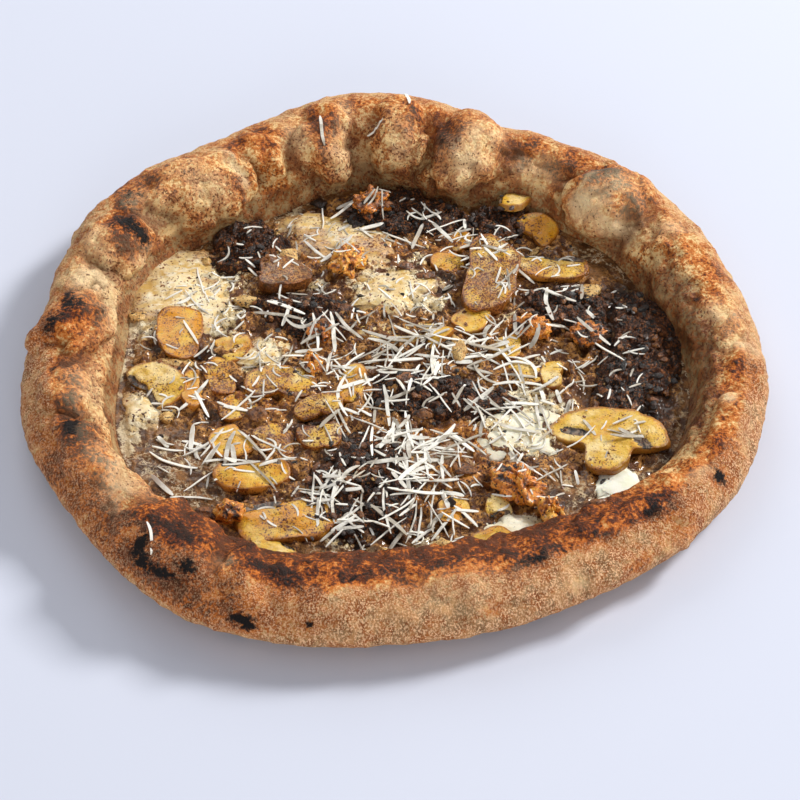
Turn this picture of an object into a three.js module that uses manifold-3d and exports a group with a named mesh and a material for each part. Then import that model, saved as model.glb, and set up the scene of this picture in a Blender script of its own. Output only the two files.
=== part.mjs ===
// A wood-fired mushroom pizza, about 33 cm across, whole and uncut.
// Frame: millimetres, +Z up, origin on the flat underside at the middle of the
// pizza. +Y is the side farthest from the eater, +X is the right-hand side.
import * as THREE from 'three';
import Module from 'manifold-3d';

const wasm = await Module();
wasm.setup();

// ---------------------------------------------------------------- sizes, mm
const GAP = 0.3; // clearance kept between touching pieces
// The rim is uneven, so the middle of its outline lies off the centre that the
// sizes below are measured from. The whole pizza is moved back by this much.
const MIDDLE = [1.7, 2.9];

// The puffed rim. Waves of its outer radius: waves per turn, cosine, sine.
const RIM_RADIUS = 164.5;
const RIM_WAVES = [
  [1, 0.3, -1.2], [2, 0.2, 0.6], [3, 2.5, -0.9], [4, 0, -0.4],
  [5, -1.3, 0.6], [6, -1.2, -0.2], [7, 0.8, -1.8], [8, 0.3, 1.0],
];
const RIM_WIDTH = 42;
// Where the rim is narrower or wider: direction, spread (degrees), change.
const RIM_WIDTH_SWELLS = [
  [-15, 38, -9.5], [213, 16, -8], [163, 14, -6], [95, 30, 3], [272, 35, 7], [61, 9, -9],
];
const RIM_HEIGHT_FRONT = 26.5;
const RIM_HEIGHT_BACK = 31;
const RIM_STEPS = 92; // round the rim
const RIM_SECTION = [-58, -34, -10, 14, 36, 56, 75, 94, 113, 132, 152, 174];
const FOOT_FILLET = 2.5; // how far the rim's foot runs into the base
const BASE_THICKNESS = 5;

// Bubbles of the rim. direction: degrees round the rim. section: 0 outermost,
// 90 on the crest, 180 on the inner wall. along, across: half sizes.
const BUBBLES = [
  { direction: 104, section: 56, along: 170, across: 24, rise: 5.5 },
  { direction: 90, section: 58, along: 62, across: 22, rise: 8.5 },
  { direction: 133, section: 113, along: 26, across: 25, rise: 10.5 },
  { direction: 117, section: 92, along: 16, across: 16, rise: 7 },
  { direction: 154.5, section: 114, along: 17, across: 21, rise: 9.5 },
  { direction: 177, section: 88, along: 19, across: 21, rise: 8 },
  { direction: 194, section: 100, along: 17, across: 16, rise: 6 },
  { direction: 209, section: 98, along: 20, across: 17, rise: 5 },
  { direction: 103, section: 124, along: 16, across: 26, rise: 12 },
  { direction: 88.5, section: 120, along: 13, across: 25, rise: 12 },
  { direction: 74.5, section: 116, along: 20, across: 28, rise: 13 },
  { direction: 76, section: 160, along: 17, across: 11, rise: 12.5 },
  { direction: 41.5, section: 130, along: 22, across: 26, rise: 11.5 },
  { direction: 12, section: 128, along: 34, across: 26, rise: 3.5 },
  { direction: 3.5, section: 84, along: 9, across: 8, rise: 3 },
  { direction: -20, section: 85, along: 22, across: 15, rise: 3.5 },
  { direction: -44, section: 98, along: 24, across: 15, rise: 3.5 },
  { direction: 285, section: 82, along: 32, across: 15, rise: 2.5 },
  { direction: 262, section: 86, along: 26, across: 14, rise: 2.5 },
  { direction: 233, section: 84, along: 20, across: 22, rise: 6.5 },
  { direction: 305, section: 36, along: 11, across: 9, rise: 2.5 },
  { direction: 315, section: 6, along: 8, across: 5, rise: 2.5 },
  { direction: 248, section: 88, along: 12, across: 14, rise: 3.5 },
  { direction: 322, section: 70, along: 14, across: 12, rise: 2.5 },
  { direction: 338, section: 74, along: 14, across: 12, rise: 3 },
  { direction: 354, section: 70, along: 12, across: 13, rise: 2.5 },
  { direction: 22, section: 84, along: 16, across: 13, rise: 3 },
  { direction: 166, section: 84, along: 9, across: 16, rise: 3 },
];
// The low saddle at the back right, between two bubbles.
const SADDLE = { direction: 58, section: 100, along: 15, across: 30, drop: 2.5 };

// The cream that covers the base.
const CREAM_BOTTOM = BASE_THICKNESS + GAP;
const CREAM_TOP = 7;
const CREAM_RINGS = [0.25, 0.5, 0.68, 0.82, 0.96];
const CREAM_STEPS = 40;
// Where the bare cream stands up in lumps: x, y, radius, rise.
const CREAM_LUMPS = [
  [-90, -62, 26, 1.8], [-100, -74, 14, 1.2], [72, -74, 16, 1.6],
  [82, -92, 14, 1.4], [96, 66, 16, 1.8], [-30, -112, 14, 1],
];

// Melted cheese puddles: centre, level of the underside, half sizes, turn.
const CHEESES = [
  { name: 'mozzarella_left', x: -96, y: 47, z: 7.6, rx: 27, ry: 31, rise: 3, turn: 20 },
  { name: 'mozzarella_middle', x: 1, y: 47, z: 7.6, rx: 24, ry: 17, rise: 4.8, turn: 5 },
  { name: 'mozzarella_right', x: 57, y: -39, z: 7.6, rx: 22, ry: 23, rise: 3, turn: 0 },
  { name: 'mozzarella_white', x: 98, y: -77, z: 7.6, rx: 13, ry: 17, rise: 2.8, turn: -20 },
  { name: 'mozzarella_front', x: 53, y: -100, z: 7.6, rx: 16, ry: 8, rise: 2.4, turn: -22 },
  { name: 'mozzarella_centre_left', x: -56, y: 3, z: 7.6, rx: 16, ry: 16, rise: 3.6, turn: 0 },
  { name: 'mozzarella_left_front', x: -108, y: -29, z: 7.6, rx: 8, ry: 14, rise: 2.2, turn: 30 },
  { name: 'mozzarella_back', x: -22, y: 79, z: 7.6, rx: 35, ry: 19, rise: 5, turn: -12 },
  { name: 'mozzarella_front_middle', x: 19, y: -57, z: 7.6, rx: 23, ry: 14, rise: 3.4, turn: 8 },
];

// Heaps of chopped, roasted dark mushroom.
const HEAPS = [
  { name: 'dark_heap_left_back', x: -67, y: 77, z: 7.6, rx: 17, ry: 22, rise: 5.6, turn: 15 },
  { name: 'dark_heap_left', x: -40, y: 30, z: 7.6, rx: 27, ry: 14, rise: 5.2, turn: -4 },
  { name: 'dark_heap_back', x: 5, y: 100, z: 7.6, rx: 31, ry: 15, rise: 6.6, turn: -3 },
  { name: 'dark_heap_back_right', x: 48, y: 91, z: 7.6, rx: 14, ry: 18, rise: 6.2, turn: -12 },
  { name: 'dark_heap_middle', x: 20, y: -23, z: 7.6, rx: 31, ry: 17, rise: 5.8, turn: -8 },
  { name: 'dark_heap_right_back', x: 81, y: 33, z: 7.6, rx: 23, ry: 16, rise: 5.8, turn: -12 },
  { name: 'dark_heap_right', x: 110, y: 5, z: 7.6, rx: 20, ry: 39, rise: 6.6, turn: -10 },
  { name: 'dark_heap_front', x: -12, y: -78, z: 7.6, rx: 23, ry: 33, rise: 5.4, turn: 16 },
];

// Mushroom slices. kind: whole (cap and stalk), cap (half-moon) or piece.
// wide x deep is the outline, the cap's skin is on its +y edge before turning.
// z is the middle of the thickness, lean tips it about its own x and y axes.
const MUSHROOMS = [
  { kind: 'whole', x: 94, y: -47, z: 12.4, wide: 51, deep: 42, thick: 4.2, turn: -8, lean: [2, -2] },
  { kind: 'piece', x: -95.5, y: 19, z: 11.4, wide: 22, deep: 33, thick: 3.6, turn: -6, lean: [-3, 4] },
  { kind: 'cap', x: -73, y: 8, z: 11, wide: 17, deep: 17, thick: 3.8, turn: -65, lean: [4, 0] },
  { kind: 'cap', x: -104, y: -15, z: 11, wide: 29, deep: 19, thick: 4, turn: -52, lean: [8, 0] },
  { kind: 'piece', x: -87.5, y: -19, z: 11, wide: 9, deep: 26, thick: 4, turn: 4, lean: [0, 8] },
  { kind: 'piece', x: -76, y: -10, z: 11, wide: 13, deep: 22, thick: 3.6, turn: 8, lean: [3, 5] },
  { kind: 'cap', x: -67.5, y: -50, z: 11, wide: 21, deep: 17, thick: 4.4, turn: 125, lean: [4, 0] },
  { kind: 'cap', x: -59, y: -69, z: 11.5, wide: 31, deep: 16, thick: 5.6, turn: 184, lean: [-6, 0] },
  { kind: 'cap', x: -42, y: -92, z: 11.2, wide: 46, deep: 25, thick: 3.8, turn: 193, lean: [2, 2] },
  { kind: 'cap', x: -49, y: -108.5, z: 10.4, wide: 24, deep: 9, thick: 3.4, turn: 148, lean: [6, 0] },
  { kind: 'cap', x: -49, y: -17, z: 12.6, wide: 32, deep: 18, thick: 4, turn: -5, lean: [0, 3] },
  { kind: 'piece', x: -66.5, y: -29, z: 10.8, wide: 16, deep: 16, thick: 3.8, turn: 20, lean: [3, 3] },
  { kind: 'cap', x: -31, y: -46, z: 12, wide: 19, deep: 14, thick: 4.4, turn: 190, lean: [-6, 0] },
  { kind: 'piece', x: -17.5, y: -17, z: 12.8, wide: 14, deep: 21, thick: 3.6, turn: -10, lean: [4, -4] },
  { kind: 'cap', x: -31, y: -31, z: 12.8, wide: 21, deep: 12, thick: 3.8, turn: 12, lean: [3, 0] },
  { kind: 'piece', x: -50, y: 55, z: 13.2, wide: 21, deep: 23, thick: 8.5, turn: 12, lean: [-2, 4] },
  { kind: 'piece', x: -50, y: -48.5, z: 10.8, wide: 18, deep: 17, thick: 3.8, turn: 5, lean: [0, 4] },
  { kind: 'piece', x: 46, y: 53, z: 14, wide: 25, deep: 46, thick: 8, turn: -3, lean: [3, 3] },
  { kind: 'piece', x: 36, y: 25, z: 12, wide: 15, deep: 17, thick: 5.5, turn: -30, lean: [4, 0] },
  { kind: 'cap', x: 57, y: 106, z: 15.5, wide: 23, deep: 14, thick: 4, turn: -100, lean: [0, -24] },
  { kind: 'cap', x: 68.5, y: 89, z: 11.4, wide: 21, deep: 16, thick: 3.8, turn: -40, lean: [4, 8] },
  { kind: 'cap', x: 75, y: 62, z: 12.4, wide: 34, deep: 17, thick: 4.4, turn: 172, lean: [3, 0] },
  { kind: 'piece', x: 33, y: 80, z: 12, wide: 14, deep: 12, thick: 3.6, turn: 25, lean: [4, 0] },
  { kind: 'piece', x: 26, y: 65, z: 11.6, wide: 15, deep: 13, thick: 3.8, turn: 10, lean: [0, 4] },
  { kind: 'piece', x: 43, y: -110, z: 10.8, wide: 28, deep: 17, thick: 3.8, turn: 8, lean: [3, -3] },
  { kind: 'piece', x: 26, y: -89, z: 10.8, wide: 12, deep: 15, thick: 3.6, turn: -8, lean: [0, 4] },
  { kind: 'cap', x: 45, y: -88.5, z: 11, wide: 11, deep: 11, thick: 4, turn: 10, lean: [6, 0] },
  { kind: 'cap', x: 3, y: 20.5, z: 11, wide: 38, deep: 18, thick: 4, turn: 178, lean: [4, 0] },
  { kind: 'cap', x: 22, y: 12.5, z: 13, wide: 17, deep: 6.5, thick: 4.4, turn: 48, lean: [0, -6] },
  { kind: 'piece', x: 52, y: 7.5, z: 12, wide: 12, deep: 15, thick: 4.4, turn: 5, lean: [4, 4] },
  { kind: 'piece', x: 59, y: -9, z: 12, wide: 13, deep: 17, thick: 4.4, turn: 14, lean: [3, -4] },
  { kind: 'cap', x: 72, y: -9.5, z: 11.8, wide: 18, deep: 10, thick: 4.4, turn: 85, lean: [0, 4] },
];
const MUSHROOM_STEPS = 12;
const WHOLE_MUSHROOM_STEPS = 28;

// Browned sausage crumbles: centre, half sizes, turn.
const SAUSAGES = [
  { x: -20.5, y: 62.5, z: 14.2, rx: 7, ry: 8.5, rz: 4.2, turn: 10 },
  { x: -9, y: 102, z: 15.4, rx: 8.5, ry: 8, rz: 4.4, turn: 30 },
  { x: -35, y: -4.5, z: 12.2, rx: 4.2, ry: 6, rz: 4, turn: 5 },
  { x: -32, y: 16.5, z: 13.2, rx: 5.5, ry: 5.5, rz: 4, turn: 0 },
  { x: 63, y: 19, z: 12.6, rx: 8.5, ry: 7.2, rz: 4.8, turn: -10 },
  { x: 88, y: 13, z: 14.2, rx: 7.5, ry: 6, rz: 4, turn: 20 },
  { x: 53, y: -77, z: 12.8, rx: 12, ry: 7.5, rz: 5, turn: -38 },
  { x: 67, y: -93, z: 12.2, rx: 4.8, ry: 7, rz: 4.4, turn: 6 },
  { x: -67, y: -92, z: 11.6, rx: 5.8, ry: 4.4, rz: 3.8, turn: -20 },
];

// Hard-cheese shreds: where they lie thickest (x, y, spread, how many).
const SHRED_WIDTH = 1.5;
const SHRED_THICKNESS = 1;
const SHRED_LENGTH = [9, 19];
const SHRED_PATCHES = [
  [10, 2, 20, 13], [-32, 12, 16, 5], [48, 4, 16, 5], [-8, -34, 18, 5],
  [12, -56, 17, 7], [-30, -86, 14, 6], [12, -90, 18, 7], [45, 68, 9, 6],
  [62, -30, 16, 5], [100, 12, 14, 4], [96, -46, 12, 3], [-72, -12, 20, 4],
  [-88, -64, 15, 6], [-20, 88, 18, 4], [20, 84, 14, 3], [-94, 36, 20, 3],
  [80, 30, 12, 2], [40, -114, 12, 2], [-20, -112, 12, 3],
];
// Single shreds that lie on the rim: direction, section, turn, length.
const RIM_SHREDS = [
  [86.5, 88, 96, 22], [105, 128, 98, 17], [234, 62, 100, 14], [95, 126, 20, 8],
];

// ------------------------------------------------------------- small helpers
const rad = THREE.MathUtils.degToRad;

/** Random numbers from 0 to 1 that are the same on every run. */
function randomFrom(seed) {
  let state = seed * 2654435761 >>> 0;
  return () => {
    state = (state + 0x6d2b79f5) >>> 0;
    let t = Math.imul(state ^ (state >>> 15), 1 | state);
    t = (t + Math.imul(t ^ (t >>> 7), 61 | t)) ^ t;
    return ((t ^ (t >>> 14)) >>> 0) / 4294967296;
  };
}

/** Signed difference of two directions, -180 to 180 degrees. */
function turnBetween(a, b) {
  return ((a - b + 540) % 360 + 360) % 360 - 180;
}

/** A lumpy factor round 1, made of three waves whose phases come from the seed. */
function waviness(angle, seed, depth) {
  const waves = Math.sin(2 * angle + seed * 1.7) + 0.7 * Math.sin(3 * angle + seed * 2.9)
    + 0.5 * Math.sin(5 * angle + seed * 4.1);
  return 1 + depth * waves / 2;
}

/** A solid from rings of points, first and last ring a single point each. */
function solidOfRings(rings) {
  const points = [];
  const starts = [];
  for (const ring of rings) {
    starts.push(points.length);
    points.push(...ring);
  }
  const count = rings[1].length;
  const faces = [];
  for (let r = 0; r + 1 < rings.length; r++) {
    for (let i = 0; i < count; i++) {
      const j = (i + 1) % count;
      const low = rings[r].length === 1 ? [starts[r], starts[r]] : [starts[r] + i, starts[r] + j];
      const top = rings[r + 1].length === 1
        ? [starts[r + 1], starts[r + 1]] : [starts[r + 1] + i, starts[r + 1] + j];
      if (low[0] !== low[1]) faces.push(low[0], low[1], top[1]);
      if (top[0] !== top[1]) faces.push(low[0], top[1], top[0]);
    }
  }
  return new wasm.Manifold(new wasm.Mesh({
    numProp: 3,
    vertProperties: new Float32Array(points.flat()),
    triVerts: new Uint32Array(faces),
  }));
}

/** The solid of a three.js geometry. */
function solidOfGeometry(geometry) {
  const corners = new Map();
  const points = [];
  const position = geometry.getAttribute('position');
  const index = geometry.index.array;
  const faces = [];
  for (const corner of index) {
    const p = [position.getX(corner), position.getY(corner), position.getZ(corner)];
    const key = p.map((v) => v.toFixed(4)).join();
    if (!corners.has(key)) {
      corners.set(key, points.length);
      points.push(p);
    }
    faces.push(corners.get(key));
  }
  return new wasm.Manifold(new wasm.Mesh({
    numProp: 3,
    vertProperties: new Float32Array(points.flat()),
    triVerts: new Uint32Array(faces),
  }));
}

/** A three.js geometry of a solid. */
function geometryOfSolid(solid) {
  const mesh = solid.getMesh();
  const count = mesh.vertProperties.length / mesh.numProp;
  const position = new Float32Array(count * 3);
  for (let i = 0; i < count; i++) {
    for (let k = 0; k < 3; k++) position[3 * i + k] = mesh.vertProperties[i * mesh.numProp + k];
  }
  const geometry = new THREE.BufferGeometry();
  geometry.setAttribute('position', new THREE.BufferAttribute(position, 3));
  geometry.setIndex(Array.from(mesh.triVerts));
  geometry.computeVertexNormals();
  return geometry;
}

/** The largest single body of a solid, without loose scraps. */
function mainBody(solid) {
  const bodies = solid.decompose();
  return bodies.reduce((best, body) => (body.volume() > best.volume() ? body : best));
}

/** True where two solids' boxes come within a margin of each other. */
function boxesMeet(a, b, margin) {
  return [0, 1, 2].every((k) => a.min[k] - margin < b.max[k] && b.min[k] - margin < a.max[k]);
}

// ------------------------------------------------------------------ the rim
function rimRadius(direction) {
  return RIM_WAVES.reduce((radius, [waves, c, s]) => radius
    + c * Math.cos(waves * rad(direction)) + s * Math.sin(waves * rad(direction)), RIM_RADIUS);
}

function rimWidth(direction) {
  return RIM_WIDTH_SWELLS.reduce((width, [centre, spread, change]) => width
    + change * Math.exp(-((turnBetween(direction, centre) / spread) ** 2)), RIM_WIDTH);
}

function rimHeight(direction) {
  const middle = (RIM_HEIGHT_BACK + RIM_HEIGHT_FRONT) / 2;
  return middle + (RIM_HEIGHT_BACK - RIM_HEIGHT_FRONT) / 2 * Math.sin(rad(direction));
}

/** Height of a bubble's cap, 0 outside it: rise * (1 - d^2)^0.6. */
function bubbleCap(bubble, rise, direction, section) {
  const along = turnBetween(direction, bubble.direction) * 2.5 / bubble.along;
  const across = (section - bubble.section) * 0.34 / bubble.across;
  return rise * Math.max(0, 1 - along * along - across * across) ** 0.6;
}

/** How far the skin stands off the plain rim: the highest bubble at each point. */
function bubbleLift(direction, section) {
  const lift = Math.max(...BUBBLES.map((b) => bubbleCap(b, b.rise, direction, section)));
  const drop = bubbleCap(SADDLE, SADDLE.drop, direction, section);
  return lift - drop * (lift > 0 ? 0.5 : 1);
}

/** A point of the rim's skin, moved outwards by grow. */
function rimPoint(direction, section, grow) {
  const halfWidth = rimWidth(direction) / 2;
  const halfHeight = rimHeight(direction) / 2;
  const out = Math.cos(rad(section));
  const up = Math.sin(rad(section));
  const lift = bubbleLift(direction, section) + grow;
  const r = rimRadius(direction) - halfWidth + (halfWidth + lift) * out;
  const z = halfHeight + halfHeight * up + (up > -0.2 ? lift * up : 0);
  return [r * Math.cos(rad(direction)), r * Math.sin(rad(direction)), Math.max(z, 0.4)];
}

/** Radius of the inner wall's foot. */
function footRadius(direction) {
  return rimRadius(direction) - rimWidth(direction);
}

/** The crust: puffed rim and thin flat base in one. */
function crustSolid(grow) {
  const directions = Array.from({ length: RIM_STEPS }, (_, i) => i * 360 / RIM_STEPS);
  const level = (radius, z) => directions.map((d) => [
    radius(d) * Math.cos(rad(d)), radius(d) * Math.sin(rad(d)), z,
  ]);
  const rings = [[[0, 0, -grow]], level((d) => rimRadius(d) - rimWidth(d) * 0.4, -grow)];
  for (const section of RIM_SECTION) {
    rings.push(directions.map((d) => rimPoint(d, section, grow)));
  }
  rings.push(level((d) => footRadius(d) - 0.3 - grow, BASE_THICKNESS + 4));
  rings.push(level((d) => footRadius(d) - FOOT_FILLET - grow, BASE_THICKNESS + grow));
  rings.push([[0, 0, BASE_THICKNESS + grow]]);
  return solidOfRings(rings);
}

// ---------------------------------------------------------------- the cream
function creamTop(x, y) {
  const ripple = 0.15 * Math.sin(x / 7.3 + 1) * Math.sin(y / 6.1) + 0.1 * Math.sin((x + y) / 11);
  return CREAM_LUMPS.reduce((z, [cx, cy, radius, rise]) => {
    const d = Math.hypot(x - cx, y - cy) / radius;
    return z + rise * Math.max(0, 1 - d * d);
  }, CREAM_TOP + ripple);
}

function creamSolid() {
  const directions = Array.from({ length: CREAM_STEPS }, (_, i) => rad(i * 360 / CREAM_STEPS));
  const ring = (share, height) => directions.map((a) => {
    const reach = share * (footRadius(THREE.MathUtils.radToDeg(a)) - FOOT_FILLET);
    const x = reach * Math.cos(a);
    const y = reach * Math.sin(a);
    return [x, y, height(x, y)];
  });
  const rings = [[[0, 0, CREAM_BOTTOM]], ring(0.985, () => CREAM_BOTTOM), ring(1, () => CREAM_TOP - 0.6)];
  for (const share of CREAM_RINGS.toReversed()) rings.push(ring(share, creamTop));
  rings.push([[0, 0, creamTop(0, 0)]]);
  return solidOfRings(rings);
}

// ------------------------------------------------------ toppings of the base
/** A low dome with a wavy outline: cheese puddles and heaps. */
function moundSolid({ x, y, z, rx, ry, rise, turn }, seed, lumps, grow) {
  const steps = 14;
  const place = (share, lift) => Array.from({ length: steps }, (_, i) => {
    const a = i * 2 * Math.PI / steps;
    const reach = share * waviness(a, seed, 0.22);
    const px = (rx * reach + grow) * Math.cos(a);
    const py = (ry * reach + grow) * Math.sin(a);
    const bump = lumps * Math.sin(5 * a + seed + 9 * share) * Math.sin(3 * a - seed) * (share < 0.9);
    const t = rad(turn);
    return [
      x + px * Math.cos(t) - py * Math.sin(t),
      y + px * Math.sin(t) + py * Math.cos(t),
      z + lift + bump,
    ];
  });
  return solidOfRings([
    [[x, y, z - grow]], place(0.94, -grow), place(1, rise * 0.35 + grow / 2),
    place(0.8, rise * 0.78 + grow), place(0.45, rise * 0.97 + grow), [[x, y, z + rise + grow]],
  ]);
}

/** Outline radius of a mushroom slice in a direction. */
function sliceRadius(kind, wide, deep, angle, seed) {
  const c = Math.abs(Math.cos(angle));
  const s = Math.sin(angle);
  const oval = (a, b, power) => ((c / a) ** power + (Math.abs(s) / b) ** power) ** (-1 / power);
  if (kind === 'piece') return oval(wide / 2, deep / 2, 2.8) * waviness(angle, seed, 0.1);
  // The cap: a dome above, cut off below by the gills.
  const capDeep = kind === 'whole' ? deep * 0.36 : deep * 0.62;
  const under = kind === 'whole' ? deep * 0.14 : deep * 0.38;
  let radius = oval(wide / 2, capDeep, 2.2);
  if (s < 0) radius = Math.min(radius, under / Math.max(-s, 0.001));
  if (kind === 'whole' && s < 0) {
    // The stalk: straight sides, a little wider at its cut end.
    const stalk = Math.min(wide * 0.2 / Math.max(c, 0.001), deep * 0.64 / -s);
    radius = Math.max(radius, stalk);
  }
  return radius * waviness(angle, seed, 0.05);
}

function mushroomSolid({ kind, x, y, z, wide, deep, thick, turn, lean }, seed, grow) {
  const steps = kind === 'whole' ? WHOLE_MUSHROOM_STEPS : MUSHROOM_STEPS;
  const place = new THREE.Matrix4().makeTranslation(x, y, z)
    .multiply(new THREE.Matrix4().makeRotationZ(rad(turn)))
    .multiply(new THREE.Matrix4().makeRotationX(rad(lean[0])))
    .multiply(new THREE.Matrix4().makeRotationY(rad(lean[1])));
  const point = (px, py, pz) => {
    const curl = 0.9 * ((2 * px / wide) ** 2 - 0.4);
    return new THREE.Vector3(px, py, pz - curl).applyMatrix4(place).toArray();
  };
  const ring = (inset, height) => Array.from({ length: steps }, (_, i) => {
    const a = i * 2 * Math.PI / steps + 0.05;
    const reach = sliceRadius(kind, wide, deep, a, seed) - inset + grow;
    return point(reach * Math.cos(a), reach * Math.sin(a), height);
  });
  const half = thick / 2 + grow;
  return solidOfRings([
    [point(0, 0, -half)], ring(0.6, -half), ring(0, half * 0.35),
    ring(0.9, half), [point(0, 0, half + 0.2)],
  ]);
}

/** A craggy lump: a ball of rings pushed in and out. */
function sausageSolid({ x, y, z, rx, ry, rz, turn }, seed, grow) {
  const steps = 9;
  const ring = (tilt) => Array.from({ length: steps }, (_, i) => {
    const a = i * 2 * Math.PI / steps;
    const crag = 1 + 0.16 * Math.sin(3 * a + seed * 2.3 + tilt * 2) * Math.cos(2 * a + seed);
    const px = (rx * crag + grow) * Math.cos(tilt) * Math.cos(a);
    const py = (ry * crag + grow) * Math.cos(tilt) * Math.sin(a);
    const t = rad(turn);
    return [
      x + px * Math.cos(t) - py * Math.sin(t),
      y + px * Math.sin(t) + py * Math.cos(t),
      z + (rz * crag + grow) * Math.sin(tilt),
    ];
  });
  return solidOfRings([
    [[x, y, z - rz - grow]], ring(-0.75), ring(0), ring(0.6), [[x, y, z + rz + grow]],
  ]);
}

// ------------------------------------------------------------- the whole pizza
// Every piece, the uppermost first. Each is cut by the ones before it in the
// list, grown by the gap, so a piece lies in a pocket of what is under it.
const flesh = { colour: 0xdcc276, roughness: 0.55 };
const pieces = [];
SAUSAGES.forEach((item, i) => pieces.push({
  name: `sausage_${i + 1}`, colour: 0xa55a22, roughness: 0.5,
  make: (grow) => sausageSolid(item, i + 1, grow),
}));
MUSHROOMS.map((item, i) => ({ item, i })).sort((a, b) => b.item.z - a.item.z)
  .forEach(({ item, i }) => pieces.push({
    name: `mushroom_${i + 1}`, ...flesh, make: (grow) => mushroomSolid(item, i + 1, grow),
  }));
HEAPS.forEach((item, i) => pieces.push({
  name: item.name, colour: 0x2d1f17, roughness: 0.45,
  make: (grow) => moundSolid(item, i + 1, 0.8, grow),
}));
CHEESES.forEach((item, i) => pieces.push({
  name: item.name, colour: 0xe9e2c0, roughness: 0.35,
  make: (grow) => moundSolid(item, i + 21, 0, grow),
}));
pieces.push({ name: 'cream', colour: 0x8d7552, roughness: 0.35, make: () => creamSolid() });
pieces.push({ name: 'crust', colour: 0xc99a62, roughness: 0.8, make: (grow) => crustSolid(grow) });

// The crust keeps its whole form, so it cuts everything else first.
const crust = pieces[pieces.length - 1];
for (const piece of pieces) piece.grown = piece.make(GAP);
for (const piece of pieces) piece.solid = piece.make(0);
pieces.forEach((piece, i) => {
  if (piece === crust) return;
  const cutters = [crust, ...pieces.slice(0, i)]
    .filter((other) => boxesMeet(piece.solid.boundingBox(), other.grown.boundingBox(), 0));
  for (const other of cutters) piece.solid = mainBody(piece.solid.subtract(other.grown));
});

// ------------------------------------------------------------------ the shreds
/** A flat strip whose middle is at a point, along a direction in space. */
function shredSolid(middle, along, length, grow) {
  const strip = new THREE.BoxGeometry(length + 2 * grow, SHRED_WIDTH + 2 * grow, SHRED_THICKNESS + 2 * grow);
  const side = new THREE.Vector3(0, 0, 1).cross(along).normalize();
  const up = along.clone().cross(side);
  strip.applyMatrix4(new THREE.Matrix4().makeBasis(along, side, up).setPosition(middle));
  return solidOfGeometry(strip);
}

const surfaces = pieces.map((piece) => new THREE.Mesh(
  geometryOfSolid(piece.solid), new THREE.MeshBasicMaterial({ side: THREE.DoubleSide }),
));
surfaces.forEach((surface, i) => { surface.userData.piece = pieces[i]; });

/** What lies uppermost under a point, and its height. */
function topAt(x, y) {
  const ray = new THREE.Raycaster(new THREE.Vector3(x, y, 100), new THREE.Vector3(0, 0, -1));
  const hit = ray.intersectObjects(surfaces, false)[0];
  return { z: hit.point.z, piece: hit.object.userData.piece };
}

const laidShreds = [];

/** Lays one shred from a point that it is sunk in, or skips it where it isn't clear. */
function layShred(x, y, heading, length, slope) {
  const host = topAt(x, y);
  const run = new THREE.Vector3(Math.cos(heading), Math.sin(heading), slope).normalize();
  const start = new THREE.Vector3(x, y, host.z - SHRED_THICKNESS * 0.25);
  const middle = start.addScaledVector(run, length / 2 - SHRED_WIDTH);
  const strip = shredSolid(middle, run, length, 0);
  const room = shredSolid(middle, run, length, GAP + 0.1);
  const near = (solid) => boxesMeet(room.boundingBox(), solid.boundingBox(), 0);
  const crossed = laidShreds.some((laid) => laid.host !== host.piece && near(laid.solid)
    && laid.solid.intersect(room).volume() > 0);
  if (crossed) return false;
  const inRival = pieces.some((piece) => piece !== host.piece && near(piece.solid)
    && piece.solid.intersect(room).volume() > 0);
  if (inRival || strip.intersect(host.piece.solid).volume() < 0.3) return false;
  host.piece.solid = host.piece.solid.add(strip);
  laidShreds.push({ solid: strip, host: host.piece });
  return true;
}

const random = randomFrom(7);
for (const [x, y, spread, count] of SHRED_PATCHES) {
  let laid = 0;
  for (let attempt = 0; laid < count && attempt < 12 * count; attempt++) {
    const reach = spread * Math.sqrt(random());
    const around = 2 * Math.PI * random();
    const heading = 2 * Math.PI * random();
    const length = THREE.MathUtils.lerp(...SHRED_LENGTH, random());
    const slope = 0.06 + 0.14 * random();
    if (layShred(x + reach * Math.cos(around), y + reach * Math.sin(around), heading, length, slope)) {
      laid += 1;
    }
  }
}
for (const [direction, section, turn, length] of RIM_SHREDS) {
  const [x, y] = rimPoint(direction, section, 0);
  const ahead = new THREE.Vector2(Math.cos(rad(turn)), Math.sin(rad(turn))).multiplyScalar(length);
  const slope = (topAt(x + ahead.x, y + ahead.y).z - topAt(x, y).z) / length;
  layShred(x, y, rad(turn), length, slope);
}

// ------------------------------------------------------------- the scene graph
const pizza = new THREE.Group();
pizza.name = 'mushroom_pizza';
pizza.position.set(-MIDDLE[0], -MIDDLE[1], 0);
for (const piece of pieces.toReversed()) {
  const material = new THREE.MeshStandardMaterial({
    color: piece.colour, roughness: piece.roughness, metalness: 0,
  });
  const mesh = new THREE.Mesh(geometryOfSolid(piece.solid), material);
  mesh.name = piece.name;
  pizza.add(mesh);
}

export default pizza;
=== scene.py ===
from itertools import product

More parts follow.
